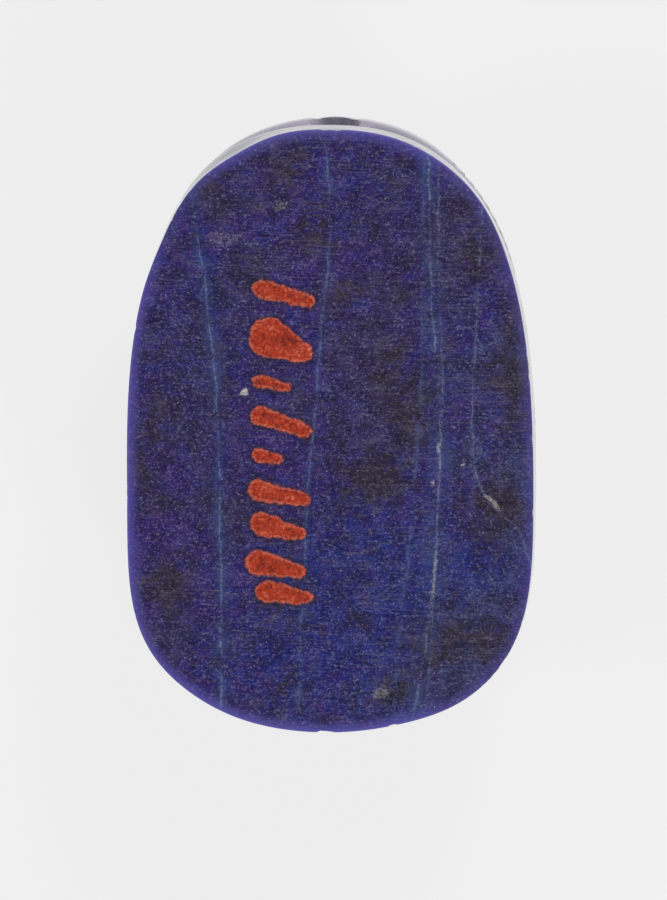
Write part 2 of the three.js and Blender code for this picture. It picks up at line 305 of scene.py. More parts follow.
@dataclass
class ScarabForm:
    """The solid form of the beetle as fields over slices that stand on the base's outline.

    A slice starts at a point of the outline and runs level to a spine below the base's middle.
    """

    plate: PlateSizes = field(default_factory=PlateSizes)
    back: BackSizes = field(default_factory=BackSizes)
    head: HeadSizes = field(default_factory=HeadSizes)
    band_inset: float = 0.95
    band_lean: float = 0.1
    band_height: float = 1.8
    leg_bulge: float = 4.4
    spine: tuple[float, float] = (-5.0, 4.4)

    def __post_init__(self) -> None:
        """Works out the outline and the back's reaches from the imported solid's box."""
        widest_y = -0.102 * LENGTH
        self.outline = EggOutline(
            WIDTH / 2,
            widest_y,
            LENGTH / 2 - widest_y,
            LENGTH / 2 + widest_y,
            (2.32, 2.93),
            (1.98, 3.69),
        )
        self.back_half_width = WIDTH / 2 - self.back.rim_inset
        self.back_rear = self.back.centre_y + LENGTH / 2 - self.back.rim_inset
        self.back_front = self.back.front_y - self.back.centre_y
        self.dome_rise = HEIGHT + self.back.crest_worn - self.back.rim_rise

    def back_share(self, x: Array, y: Array) -> Array:
        """How far out a plan point lies on the back: 0 at the crest, 1 at the rim.

        Args:
            x: Places across the stone.
            y: Places along the stone.

        Returns:
            The shares.
        """
        power = self.back.plan_power
        reach = np.where(y > self.back.centre_y, self.back_front, self.back_rear)
        across = np.abs(x / self.back_half_width) ** power
        along = np.abs((y - self.back.centre_y) / reach) ** power
        return (across + along) ** (1 / power)

    def back_rise(self, x: Array, y: Array) -> Array:
        """Rise of the back's surface at plan points inside its rim.

        Args:
            x: Places across the stone.
            y: Places along the stone.

        Returns:
            The rises.
        """
        power = self.back.profile_power
        fall = np.minimum(self.back_share(x, y), 1) ** power
        rise = self.back.rim_rise + self.dome_rise * (1 - fall) ** (1 / power)
        return np.minimum(rise, HEIGHT)

    def head_rise(self, x: Array, y: Array) -> Array:
        """Rise of the head's upper surface at plan points.

        Args:
            x: Places across the stone.
            y: Places along the stone.

        Returns:
            The rises.
        """
        size = self.head
        across = (x / size.roof_across) ** 2
        along = ((y - size.rear_y) / size.roof_along) ** 2
        return size.roof_rise + size.roof_up * np.sqrt(np.maximum(0, 1 - across - along))

    def back_field(self, x: Array, y: Array, rise: Array) -> Array:
        """Distance, negative inside, to the dome and the lip below its rim.

        Args:
            x: Places across the stone.
            y: Places along the stone.
            rise: Rises of the places.

        Returns:
            The distances.
        """
        power = self.back.profile_power
        share = self.back_share(x, y)
        up = np.maximum(rise - self.back.rim_rise, 0) / self.dome_rise
        above = ((share**power + up**power) ** (1 / power) - 1) * self.back.dome_scale
        down = np.maximum(self.back.rim_rise - rise, 0) / self.back.lip
        power = self.back.lip_power
        below = ((share**power + down**power) ** (1 / power) - 1) * self.back.lip_scale
        return np.where(rise > self.back.rim_rise, above, below)

    def head_field(self, x: Array, y: Array, rise: Array) -> Array:
        """Distance, negative inside, to the head with its teeth and eyes.

        Args:
            x: Places across the stone.
            y: Places along the stone.
            rise: Rises of the places.

        Returns:
            The distances.
        """
        size = self.head
        centre_y = LENGTH / 2 - size.tip_inset - size.clypeus_radius
        clypeus = np.hypot(x, y - centre_y) - size.clypeus_radius
        cheeks = soft_max(np.abs(x) - size.half_width, y - size.cheek_front_y, size.cheek_round)
        plan = soft_min(clypeus, cheeks, size.plan_round)
        plan = np.maximum(plan, size.rear_y - y)
        span = math.pi - 2 * size.arc_start
        pitch = span / (size.teeth + (size.teeth - 1) * size.notch_share)
        for tooth in range(size.teeth - 1):
            turn = size.arc_start + pitch * (tooth * (1 + size.notch_share) + 1 + size.notch_share / 2)
            notch_reach = size.clypeus_radius + size.notch_out
            notch_x = notch_reach * math.cos(turn)
            notch_y = centre_y + notch_reach * math.sin(turn)
            notch = np.hypot(x - notch_x, y - notch_y) - size.notch_radius
            plan = soft_max(plan, -notch, size.notch_round)
        roof = (rise - self.head_rise(x, y)) * size.roof_slope
        head = soft_max(plan, roof, size.roof_round)
        head = soft_max(head, size.underside - rise, size.under_round)
        eye_x, eye_y, eye_rise = size.eye
        for side in (-1, 1):
            off = np.sqrt((x - side * eye_x) ** 2 + (y - eye_y) ** 2 + (rise - eye_rise) ** 2)
            head = soft_min(head, off - size.eye_radius, size.eye_round)
        return head

    def side_inset(self, share: Array, rise: Array) -> Array:
        """Inset of the sunk band and the legs on it, at shares of the half outline and rises.

        Args:
            share: Shares of the half outline, from the tail to the head.
            rise: Rises of the places.

        Returns:
            The insets from the outline.
        """
        run = share * self.outline.half_length
        inset = self.band_inset + self.band_lean * np.clip((rise - self.plate.rise) / self.band_height, 0, 1)
        for leg in Leg:
            points = leg.smoothed()
            best = np.full(np.broadcast(run, rise).shape, 1e9)
            width = np.ones_like(best)
            face = np.ones_like(best)
            for a, b in zip(points[:-1], points[1:]):
                ax, bx = a[0] * self.outline.half_length, b[0] * self.outline.half_length
                along = (run - ax) * (bx - ax) + (rise - a[1]) * (b[1] - a[1])
                t = np.clip(along / ((bx - ax) ** 2 + (b[1] - a[1]) ** 2), 0, 1)
                off = np.hypot(run - ax - t * (bx - ax), rise - a[1] - t * (b[1] - a[1]))
                here = a + t[..., None] * (b - a)
                off = off / here[..., 2]
                nearer = off < best
                best = np.where(nearer, off, best)
                width = np.where(nearer, here[..., 2], width)
                face = np.where(nearer, here[..., 3], face)
            bulge = np.sqrt(np.clip(1 - best**self.leg_bulge, 0, 1))
            inset = np.minimum(inset, face + (self.band_inset - face) * (1 - bulge))
        return inset


# ---- Skin of the stone ---------------------------------------------------------------------


@dataclass
class StoneSkin:
    """A closed mesh over the form, in rings from the base's middle to the crest of the back.

    The insets of the sides are kept in a table of rises from table_low up. The sides end a little
    below the back's rim: rim_cap holds how far below and how steeply.
    """

    form: ScarabForm
    half_columns: int = 360
    aim_rise: float = 3.0
    recess_rings: int = 28
    lip_rings: int = 16
    dome_rings: int = 52
    lip_turn: float = 13.0
    table_low: float = 1.3
    table_step: float = 0.02
    table_rows: int = 150
    cell_rise: float = 0.055
    rim_cap: tuple[float, float] = (0.15, 4)
    joint_round: float = 0.08
    neck_round: float = 0.1
    face_rise: float = 0.11
    sunk_rises: tuple[float, float] = (1.45, 3.7)
    clypeus_share: float = 0.93
    clypeus_inset: float = 0.2

    def __post_init__(self) -> None:
        """Lays out the slices: where each starts, how it runs and how far the spine is."""
        form = self.form
        self.share = np.linspace(0, 1, self.half_columns + 1)
        self.start = form.outline.half_by_length(self.half_columns + 1)
        spine_y = form.spine[0] + (form.spine[1] - form.spine[0]) * self.share
        spine = np.stack([np.zeros_like(spine_y), spine_y], axis=-1)
        self.reach = np.linalg.norm(spine - self.start, axis=1)
        self.inward = (spine - self.start) / self.reach[:, None]
        tangent = np.gradient(self.start, axis=0)
        tangent[0] = tangent[-1] = (1, 0)
        tangent[-1] = (-1, 0)
        tangent /= np.linalg.norm(tangent, axis=1)[:, None]
        normal = np.stack([tangent[:, 1], -tangent[:, 0]], axis=-1)
        self.slant = -(self.inward * normal).sum(axis=1)
        self.table = self._side_table()

    def _side_table(self) -> Array:
        """Insets of band and legs for each slice and rise, averaged over each small cell.

        Returns:
            A row for each slice and a column for each rise.
        """
        rises = self.table_low + self.table_step * np.arange(self.table_rows)
        width = self.share[1]
        total = np.zeros((len(self.share), len(rises)))
        offsets = (-0.6, -0.2, 0.2, 0.6)
        for across in offsets:
            for up in offsets:
                share = np.clip(self.share + across * width, 0, 1)[:, None]
                total += self.form.side_inset(share, rises[None, :] + up * self.cell_rise)
        return total / len(offsets) ** 2

    def _field(self, depth: Array, rise: Array) -> Array:
        """The whole form's field for slices down the rows, at depths along them and rises.

        Args:
            depth: Depths along the slices, one row for each slice.
            rise: Rises of the places.

        Returns:
            The distances from the stone's surface.
        """
        form = self.form
        x = self.start[:, :1] + depth * self.inward[:, :1]
        y = self.start[:, 1:] + depth * self.inward[:, 1:]
        place = np.clip((rise - self.table_low) / self.table_step, 0, self.table.shape[1] - 1.001)
        low = place.astype(int)
        rows = np.arange(len(self.share))[:, None]
        inset = self.table[rows, low] * (1 - place + low) + self.table[rows, low + 1] * (place - low)
        side = inset - depth * self.slant[:, None]
        side = side + np.maximum(rise - form.back.rim_rise + self.rim_cap[0], 0) * self.rim_cap[1]
        stone = soft_min(side, form.back_field(x, y, rise), self.joint_round)
        return soft_min(stone, form.head_field(x, y, rise), self.neck_round)

    def _first_hit(self, start: Array, aim: Array, steps: int = 170) -> Array:
        """Depth and rise where each ray from start to aim first meets the stone.

        Args:
            start: Depth and rise of each ray's start, outside the stone.
            aim: Depth and rise of a point inside that the ray runs to.
            steps: Steps of the first search along a ray.

        Returns:
            Depth and rise of each hit.
        """

        def at(t: Array) -> Array:
            """The field at a share of each ray."""
            point = start + t[..., None] * (aim - start)
            return self._field(point[..., 0], point[..., 1])

        low = np.zeros(start.shape[:2])
        high = np.ones(start.shape[:2])
        found = np.zeros(start.shape[:2], dtype=bool)
        for step in range(1, steps + 1):
            t = np.full(start.shape[:2], step / steps)
            inside = at(t) < 0
            newly = inside & ~found
            high = np.where(newly, t, high)
            low = np.where(newly, (step - 1) / steps, low)
            found |= inside
        for _ in range(14):
            middle = (low + high) / 2
            inside = at(middle) < 0
            high = np.where(inside, middle, high)
            low = np.where(inside, low, middle)
        return start + high[..., None] * (aim - start)

    def _plate_rings(self) -> list[tuple[Array, float]]:
        """Depths and rises over the flat base, round its arris, down the wall and under it.

        Returns:
            For each ring, its depth in every slice and its rise.
        """
        plate = self.form.plate
        rings = [(self.reach * share, 0.0) for share in (1.0, 0.8, 0.6, 0.42, 0.27, 0.15, 0.08)]
        profile = [(0.24, 0.0), (0.16, 0.0)]
        for turn in np.linspace(0, math.pi / 2, 6):
            profile.append((plate.arris * (1 - math.sin(turn)), plate.arris * (1 - math.cos(turn))))
        wall_end = plate.rise - plate.lower_round
        for rise in np.linspace(plate.arris, wall_end, 9)[1:]:
            profile.append((0.0, float(rise)))
        for turn in np.linspace(0, math.pi / 2, 7)[1:]:
            inset = plate.lower_round * (1 - math.cos(turn))
            profile.append((inset, wall_end + plate.lower_round * math.sin(turn)))
        profile += [(0.45, plate.rise + 0.004), (0.68, plate.rise + 0.01), (0.86, plate.rise + 0.03)]
        rings += [(inset / self.slant, rise) for inset, rise in profile]
        return rings

    def _slices(self) -> Array:
        """Depth and rise of every ring in every slice, from the base's middle to the crest.

        Returns:
            An array of slice, ring, and depth or rise.
        """
        rings = [
            np.stack([depth, np.full_like(depth, rise)], axis=-1)
            for depth, rise in self._plate_rings()
        ]
        count = len(self.share)
        rises = np.linspace(self.form.plate.rise + 0.07, self.aim_rise, self.recess_rings)
        level = np.broadcast_to(rises, (count, len(rises)))
        start = np.stack([np.full_like(level, -0.3), level], axis=-1)
        aim = np.stack([np.broadcast_to(0.6 * self.reach[:, None], level.shape), level], axis=-1)
        recess = self._first_hit(start, aim)
        lip_end = math.radians(self.lip_turn)
        lip = np.linspace(0, lip_end, self.lip_rings + 1)[1:]
        dome = np.linspace(lip_end, math.pi / 2, self.dome_rings + 1)[1:]
        turns = np.concatenate([lip, dome])
        reach = self.reach[:, None]
        aim = np.stack(
            [np.broadcast_to(reach, (count, len(turns))), np.full((count, len(turns)), self.aim_rise)],
            axis=-1,
        )
        away = np.stack(
            [-(reach + 0.6) * np.cos(turns), (HEIGHT + 0.8 - self.aim_rise) * np.sin(turns) + 0 * reach],
            axis=-1,
        )
        over = self._first_hit(aim + away, aim)
        return np.concatenate([np.stack(rings, axis=1), recess, over], axis=1)

    def on_side(self, share: Array, rise: Array, inset: Array) -> Array:
        """Points at shares of the half outline, at rises, the given insets behind the outline.

        Args:
            share: Shares of the half outline, from the tail to the head.
            rise: Rises of the points.
            inset: How far each lies in from the outline.

        Returns:
            One row of x, y and z for each point, on the +X side.
        """
        at = share * self.half_columns
        columns = np.arange(self.half_columns + 1)
        depth = inset / np.interp(at, columns, self.slant)
        place = [
            np.interp(at, columns, self.start[:, k]) + depth * np.interp(at, columns, self.inward[:, k])
            for k in (0, 1)
        ]
        return np.stack([*place, HEIGHT - rise], axis=-1)

    def mesh(self, name: str) -> bpy.types.Mesh:
        """Builds the closed mesh, in metres, with its masks as vertex attributes.

        Args:
            name: The mesh's name.

        Returns:
            The mesh. Attribute "edge_mm" is the distance in from the outline on the base's face,
            "sunk" is 1 in the recess round the legs, "leg" is 1 on the legs' outer faces and
            "base" is 1 on the base's face.
        """
        slices = self._slices()
        slices[..., 1] = np.minimum(slices[..., 1], HEIGHT)
        rings = slices.shape[1]
        columns = 2 * self.half_columns
        fold = np.minimum(np.arange(columns), columns - np.arange(columns))
        side = np.where(np.arange(columns) <= self.half_columns, 1.0, -1.0)
        plan = self.start[:, None] + slices[..., :1] * self.inward[:, None]
        numbers = np.zeros((rings, columns), dtype=int)
        points, edge, sunk, leg = [], [], [], []
        for ring in range(rings):
            zipped = ring in (0, rings - 1)
            kept = np.arange(self.half_columns + 1) if zipped else np.arange(columns)
            first = len(points)
            for column in kept:
                source = fold[column]
                x, y = plan[source, ring]
                if zipped:
                    x = 0.0
                depth, rise = slices[source, ring]
                points.append((side[column] * x, y, HEIGHT - rise))
                inset = depth * self.slant[source]
                edge.append(inset if rise < self.face_rise else 0.0)
                sunk.append(inset if self.sunk_rises[0] < rise < self.sunk_rises[1] else 0.0)
                leg.append(self._on_leg(source, inset, rise))
            numbers[ring] = first + (fold if zipped else np.arange(columns))
        ahead = np.roll(numbers, -1, axis=1)
        quads = np.stack([numbers[:-1], numbers[1:], ahead[1:], ahead[:-1]], axis=-1)
        place = hand_wobble(np.array(points))
        mesh = bpy.data.meshes.new(name)
        mesh.from_pydata((place * MM).tolist(), [], quads.reshape(-1, 4).tolist())
        self._store(mesh, "edge_mm", np.array(edge))
        self._store(mesh, "sunk", np.clip(np.array(sunk) / self.form.band_inset, 0, 1))
        self._store(mesh, "leg", np.array(leg))
        self._store(mesh, "base", (np.array(points)[:, 2] > HEIGHT - 1e-6).astype(float))
        mesh.update()
        return mesh

    def _on_leg(self, column: int, inset: float, rise: float) -> float:
        """How far a point is on a leg's outer face or the clypeus's edge: 1 on it, 0 elsewhere.

        Args:
            column: The slice.
            inset: The point's distance in from the outline.
            rise: Its rise.

        Returns:
            The share.
        """
        row = round((rise - self.table_low) / self.table_step)
        on_side = self.form.plate.rise + 0.1 < rise < self.form.back.rim_rise
        if not on_side or row >= self.table.shape[1]:
            return 0.0
        if self.share[column] > self.clypeus_share and inset < self.clypeus_inset:
            return 1.0
        face = self.table[column, row]
        return float(np.clip((0.5 - face) / 0.3, 0, 1)) if abs(face - inset) < 0.08 else 0.0

    @staticmethod
    def _store(mesh: bpy.types.Mesh, name: str, values: Array) -> None:
        """Keeps one number for each vertex as a named attribute."""
        layer = mesh.attributes.new(name, "FLOAT", "POINT")
        layer.data.foreach_set("value", values.astype(np.float32))


@dataclass(frozen=True)
class RubbedSpot:
    """A stretch of the outline that was rubbed back, or left full, on the base and on the side."""

    x: float
    y: float
    reach: float
    base_depth: float
    side_depth: float


RUBBED_SPOTS = (
    RubbedSpot(-2.9, 8.75, 1.3, 0.13, -0.02),
    RubbedSpot(-5.4, 5.9, 1.2, 0.07, 0.0),
    RubbedSpot(-4.2, 7.9, 1.7, 0.0, -0.09),
    RubbedSpot(4.7, 7.1, 1.6, -0.08, 0.0),
    RubbedSpot(0.0, -9.4, 3.2, 0.035, 0.035),
    RubbedSpot(-4.6, -8.0, 1.8, 0.07, 0.07),
    RubbedSpot(2.4, -9.1, 1.5, 0.05, 0.05),
)


# Number of the slow waves of hand carving, and their shortest and longest length.
WAVES, WAVE_LENGTHS = 9, (5, 12)


def hand_wobble(points: Array, seed: int = 7, size: float = 0.03) -> Array:
    """Moves points by a slow unevenness, as hand carving leaves, with the base kept flat.

    Args:
        points: Places in millimetres, one row each.
        seed: Seed of the waves' directions.
        size: Typical shift in millimetres.

    Returns:
        The moved places, none of them below the ground.
    """
    random = np.random.default_rng(seed)
    shift = np.zeros_like(points)
    for _ in range(WAVES):
        wave = random.normal(size=3)
        wave *= 2 * math.pi / random.uniform(*WAVE_LENGTHS) / np.linalg.norm(wave)
        push = random.normal(size=3)
        shift += push * np.sin(points @ wave + random.uniform(0, 6.28))[:, None] / math.sqrt(WAVES)
    below_base = ease(HEIGHT - points[:, 2], 0.3, 2.5)
    shift[:, 2] *= below_base
    moved = points + size * shift
    on_side = ease(HEIGHT - points[:, 2], 0.1, 1.4)
    for spot in RUBBED_SPOTS:
        off = np.array([spot.x, spot.y])
        near = np.exp(-((points[:, :2] - off) ** 2).sum(axis=1) / spot.reach**2)
        depth = spot.base_depth + (spot.side_depth - spot.base_depth) * on_side
        moved[:, :2] -= (depth * near)[:, None] * off / np.linalg.norm(off)
    moved[:, 2] = np.clip(moved[:, 2], 0, HEIGHT)
    return moved


# ---- Carved lines --------------------------------------------------------------------------


class Work(Enum):
    """Kinds of carving on the finished form: half width and depth of the stroke."""

    MAIN = (0.19, 0.15)
    FINE = (0.12, 0.08)
    HATCH = (0.085, 0.05)

    @property
    def half_width(self) -> float:
        """Half the width of the stroke at the surface."""
        return self.value[0]

    @property
    def depth(self) -> float:
        """Depth of the stroke."""
        return self.value[1]


@dataclass(frozen=True)
class LineSizes:
    """Where the lines on the back and the head run."""

    thorax_y: float = 1.35
    thorax_bow: float = 0.85
    thorax_half_width: float = 5.4
    collar_y: float = 4.95
    collar_half_width: float = 4.0
    brow_y: float = 7.3
    brow_half_width: float = 2.6
    border_rise: float = 4.16
    border_gap: float = 0.42
    notch_from: float = 3.6
    notch_to: float = 5.2
    notch_drop: float = 1.25
    smooth_from: float = 0.85
    notch_power: float = 1.5
    seam_share: float = 0.995
    collar_bow: float = 0.055
    brow_bow: float = 0.12
    ridge_start: tuple[float, float] = (0.75, 7.2)
    ridge_run: tuple[float, float] = (0.35, 1.7)
    border_front_y: float = 4.7
    border_from_x: float = 0.3


@dataclass
class LineWork:
    """The paths of the carved lines, as rows of points on the stone."""

    form: ScarabForm
    skin: StoneSkin
    sizes: LineSizes = field(default_factory=LineSizes)
    steps: int = 90

    def thorax_y(self, x: Array) -> Array:
        """Where the line between thorax and wing cases runs at each x."""
        fall = (np.abs(x) / self.sizes.thorax_half_width) ** 2
        return self.sizes.thorax_y - self.sizes.thorax_bow * fall

    def _on_back(self, x: Array, y: Array) -> Array:
        """Plan points set on the back."""
        return np.stack([x, y, HEIGHT - self.form.back_rise(x, y)], axis=-1)

    def _on_head(self, x: Array, y: Array) -> Array:
        """Plan points set on the head's roof."""
        return np.stack([x, y, HEIGHT - self.form.head_rise(x, y)], axis=-1)

    def _across(self, half_width: float) -> Array:
        """Places from one side to the other, closer together towards the ends."""
        return half_width * np.sin(np.linspace(-math.pi / 2, math.pi / 2, self.steps))

    def main_lines(self) -> list[Array]:
        """The thorax line, the seam, the collar and the nicks on the shoulders.

        Returns:
            The lines' points.
        """
        size = self.sizes
        x = self._across(size.thorax_half_width)
        lines = [self._on_back(x, self.thorax_y(x))]
        rear = self.form.back.centre_y - size.seam_share * self.form.back_rear
        middle, half = (size.thorax_y + rear) / 2, (size.thorax_y - rear) / 2
        y = middle + half * np.sin(np.linspace(-math.pi / 2, math.pi / 2, self.steps))
        lines.append(self._on_back(np.zeros_like(y), y))
        x = self._across(size.collar_half_width)
        lines.append(self._on_back(x, size.collar_y - size.collar_bow * x**2))
        for side in (-1, 1):
            t = np.linspace(0, 1, self.steps // 2)
            x = size.notch_from + (size.notch_to - size.notch_from) * t
            y = self.thorax_y(x) - size.notch_drop * (1 - t) ** size.notch_power
            lines.append(self._on_back(side * x, y))
        return lines

    def fine_lines(self) -> list[Array]:
        """The brow, the ridges of the clypeus and the border round the back's rim.

        Returns:
            The lines' points.
        """
        size = self.sizes
        x = self._across(size.brow_half_width)
        lines = [self._on_head(x, size.brow_y - size.brow_bow * x**2)]
        for side in (-1, 1):
            t = np.linspace(0, 1, self.steps // 3)
            x = size.ridge_start[0] + size.ridge_run[0] * t
            lines.append(self._on_head(side * x, size.ridge_start[1] + size.ridge_run[1] * t))
        back = self.form.back
        up = (size.border_rise - back.rim_rise) / self.form.dome_rise
        share = (1 - up**back.profile_power) ** (1 / back.profile_power)
        for front in (False, True):
            lines += [self._border(side, front, share) for side in (-1, 1)]
        return lines

    def _border(self, side: int, front: bool, share: float) -> Array:
        """A stretch of the line inside the rim: round a wing case, or along the thorax.

        Args:
            side: 1 for +X, -1 for -X.
            front: Whether it runs along the thorax rather than a wing case.
            share: How far out on the back it runs.

        Returns:
            The stretch's points.
        """
        back = self.form.back
        turns = np.linspace(0, math.pi, 400)
        power = 2 / back.plan_power
        reach = np.where(np.cos(turns) < 0, self.form.back_front, self.form.back_rear)
        x = share * self.form.back_half_width * np.sin(turns) ** power
        y = back.centre_y - share * reach * np.sign(np.cos(turns)) * np.abs(np.cos(turns)) ** power
        gap = self.sizes.border_gap
        if front:
            kept = (y > self.thorax_y(x) + gap) & (y < self.sizes.border_front_y)
        else:
            kept = (y < self.thorax_y(x) - gap) & (x > self.sizes.border_from_x)
        rise = np.full(kept.sum(), self.sizes.border_rise)
        return np.stack([side * x[kept], y[kept], HEIGHT - rise], axis=-1)

    def leg_lines(self) -> list[Array]:
        """The middle of each leg's outer face, from below the knee to the smooth foot.

        Returns:
            The lines' points.
        """
        lines = []
        for leg in Leg:
            rows = leg.smoothed()
            rows = rows[len(rows) // 4 :]
            rows = rows[rows[:, 0] < self.sizes.smooth_from]
            points = self.skin.on_side(rows[:, 0], rows[:, 1], rows[:, 3])
            lines += [points, points * (-1, 1, 1)]
        return lines


def wires(name: str, lines: list[Array]) -> Object:
    """Makes an object of bare edges along the given lines.

    Args:
        name: The object's name.
        lines: Rows of points in millimetres.

    Returns:
        The object, linked to the scene, in metres.
    """
    points, edges = [], []
    for line in lines:
        first = len(points)
        points += (hand_wobble(line) * MM).tolist()
        edges += [(first + k, first + k + 1) for k in range(len(line) - 1)]
    mesh = bpy.data.meshes.new(name)
    mesh.from_pydata(points, edges, [])
    return placed(name, mesh)


# ---- Node trees ----------------------------------------------------------------------------


class NodeSheet:
    """Writes nodes into one tree, so that an effect reads as a few named steps."""

    def __init__(self, tree: Tree) -> None:
        """Keeps the tree that the nodes go into."""
        self.tree = tree

    def node(self, kind: str, inputs: dict[str | int, Value], **settings: object) -> Node:
        """Adds a node.

        Args:
            kind: The node's type.
            inputs: What goes into its sockets: another node's output, or a plain value.
            **settings: Properties of the node itself.

        Returns:
            The new node.
        """
        node = self.tree.nodes.new(kind)
        for name, setting in settings.items():
            setattr(node, name, setting)
        self.feed(node, inputs)
        return node

    def feed(self, node: Node, inputs: dict[str | int, Value]) -> None:
        """Gives a node's sockets what goes into them.

        Args:
            node: The node.
            inputs: Another node's output, or a plain value, for each socket.
        """
        for key, value in inputs.items():
            if isinstance(value, Socket):
                self.tree.links.new(value, node.inputs[key])
            elif value is not None:
                node.inputs[key].default_value = value

    def math(self, operation: str, a: Value, b: Value = None, c: Value = None) -> Socket:
        """A sum on numbers."""
        return self.node("ShaderNodeMath", {0: a, 1: b, 2: c}, operation=operation).outputs[0]

    def plus(self, a: Value, b: Value) -> Socket:
        """The sum of two numbers."""
        return self.math("ADD", a, b)

    def minus(self, a: Value, b: Value) -> Socket:
        """The first number less the second."""
        return self.math("SUBTRACT", a, b)

    def times(self, product: Value, *factors: Value) -> Value:
        """The numbers multiplied in their order.

        Args:
            product: The first number.
            *factors: The others.

        Returns:
            Their product.
        """
        for factor in factors:
            product = self.math("MULTIPLY", product, factor)
        return product

    def vector(self, operation: str, a: Value, b: Value = None, scale: Value = None) -> Socket:
        """A sum on vectors.

        Args:
            operation: The sum's name.
            a: First vector.
            b: Second vector.
            scale: Factor, for a scaled vector.

        Returns:
            The vector, or the number where the sum is a length or a dot product.
        """
        inputs: dict[str | int, Value] = {0: a, 1: b}
        if scale is not None:
            inputs["Scale"] = scale
        node = self.node("ShaderNodeVectorMath", inputs, operation=operation)
        return node.outputs["Value" if operation in ("LENGTH", "DOT_PRODUCT") else "Vector"]

    def split(self, place: Value) -> Sockets:
        """The numbers X, Y and Z of a place."""
        return self.node("ShaderNodeSeparateXYZ", {0: place}).outputs

    def turned(self, place: Value, angle: float) -> Socket:
        """A place turned about the upright axis, by an angle in radians."""
        inputs = {"Vector": place, "Angle": angle}
        return self.node("ShaderNodeVectorRotate", inputs, rotation_type="Z_AXIS").outputs[0]

    def group(self, tree: Tree, **inputs: Value) -> Sockets:
        """A shader group with its own inputs, for its outputs."""
        return self.node("ShaderNodeGroup", inputs, node_tree=tree).outputs

    def mask(self, name: str) -> Socket:
        """A mask that the mesh holds, for a shader."""
        return self.node("ShaderNodeAttribute", {}, attribute_name=name).outputs["Fac"]

    def stored(self, name: str) -> Socket:
        """A number that the mesh holds, for a geometry tree."""
        return self.node("GeometryNodeInputNamedAttribute", {"Name": name}, data_type="FLOAT").outputs[0]

    def spread(self, value: Value, low: float, high: float, to: tuple = (0.0, 1.0)) -> Socket:
        """Maps a value smoothly from low and high to two other values, and holds it there.

        Args:
            value: The value to map.
            low: Where the mapping starts.
            high: Where it ends.
            to: The results at both ends.

        Returns:
            The mapped value.
        """
        inputs = {"Value": value, "From Min": low, "From Max": high, "To Min": to[0], "To Max": to[1]}
        node = self.node("ShaderNodeMapRange", inputs, interpolation_type="SMOOTHSTEP")
        return node.outputs["Result"]

    def spread_linear(self, value: Value, low: float, high: float) -> Socket:
        """Maps a value evenly from low and high to 0 and 1."""
        inputs = {"Value": value, "From Min": low, "From Max": high}
        return self.node("ShaderNodeMapRange", inputs).outputs["Result"]

    def noise(
        self,
        place: Value,
        scale: float,
        detail: float = 2.0,
        roughness: float = 0.5,
        seed: Value = 0.0,
        distortion: float = 0.0,
        output: str | int = 0,
    ) -> Socket:
        """Noise with its own seed.

        Args:
            place: The place in millimetres.
            scale: Waves a millimetre, where the place is in millimetres.
            detail: Number of finer layers.
            roughness: Strength of the finer layers.
            seed: Seed of the pattern.
            distortion: How far the waves are bent.
            output: Which of the noise's outputs to give.

        Returns:
            The noise's value.
        """
        inputs = {
            "Vector": place,
            "Scale": scale,
            "Detail": detail,
            "Roughness": roughness,
            "Distortion": distortion,
        }
        if isinstance(seed, Socket):
            node = self.node("ShaderNodeTexNoise", inputs | {"W": seed}, noise_dimensions="4D")
        else:
            inputs["Vector"] = self.vector("ADD", place, (1.7 * seed, -2.3 * seed, 3.1 * seed))
            node = self.node("ShaderNodeTexNoise", inputs, noise_dimensions="3D")
        return node.outputs[output]

    def sway(self, reach: Value, *noise: Value) -> Socket:
        """A wandering vector of the given reach, from the noise that the other values describe."""
        vector = self.noise(*noise, output="Color")
        return self.vector("SCALE", self.vector("SUBTRACT", vector, (0.5, 0.5, 0.5)), scale=reach)

    def cells(self, place: Value, scale: float, seed: float) -> Node:
        """Voronoi cells with their own seed."""
        moved = self.vector("ADD", place, (2.9 * seed, 1.3 * seed, -1.9 * seed))
        return self.node("ShaderNodeTexVoronoi", {"Vector": moved, "Scale": scale})

    def clamp(self, value: Value) -> Socket:
        """The value held between 0 and 1."""
        return self.node("ShaderNodeClamp", {"Value": value}).outputs[0]

    def mix(self, share: Value, a: Value, b: Value) -> Socket:
        """Mixes two colours, by the share of the second."""
        inputs = {0: share, 6: _opaque(a), 7: _opaque(b)}
        return self.node("ShaderNodeMix", inputs, data_type="RGBA").outputs[2]


def _opaque(value: Value) -> Value:
    """Gives a plain colour its fourth number."""
    return (*value, 1.0) if isinstance(value, tuple) and len(value) == 3 else value


def new_tree(
    name: str, kind: str, inputs: dict[str, tuple[str, Value]], outputs: dict[str, str]
) -> tuple[NodeSheet, Sockets, Node]:
    """Makes a node tree with named inputs and outputs.

    Args:
        name: The tree's name.
        kind: "GeometryNodeTree" or "ShaderNodeTree".
        inputs: Each input's socket type and first value.
        outputs: Each output's socket type.

    Returns:
        The sheet to write on, the inputs' sockets and the output node.
    """
    tree = bpy.data.node_groups.new(name, kind)
    for label, (socket_type, value) in inputs.items():
        socket = tree.interface.new_socket(label, in_out="INPUT", socket_type=socket_type)
        if value is not None:
            socket.default_value = value
    for label, socket_type in outputs.items():
        tree.interface.new_socket(label, in_out="OUTPUT", socket_type=socket_type)
    sheet = NodeSheet(tree)
    return sheet, sheet.node("NodeGroupInput", {}).outputs, sheet.node("NodeGroupOutput", {})


# ---- Carving with geometry nodes -----------------------------------------------------------

FLOAT, INTEGER, OBJECT = "NodeSocketFloat", "NodeSocketInt", "NodeSocketObject"
GEOMETRY, MATERIAL = "NodeSocketGeometry", "NodeSocketMaterial"
VECTOR, COLOUR = "NodeSocketVector", "NodeSocketColor"
GROOVE = "groove"


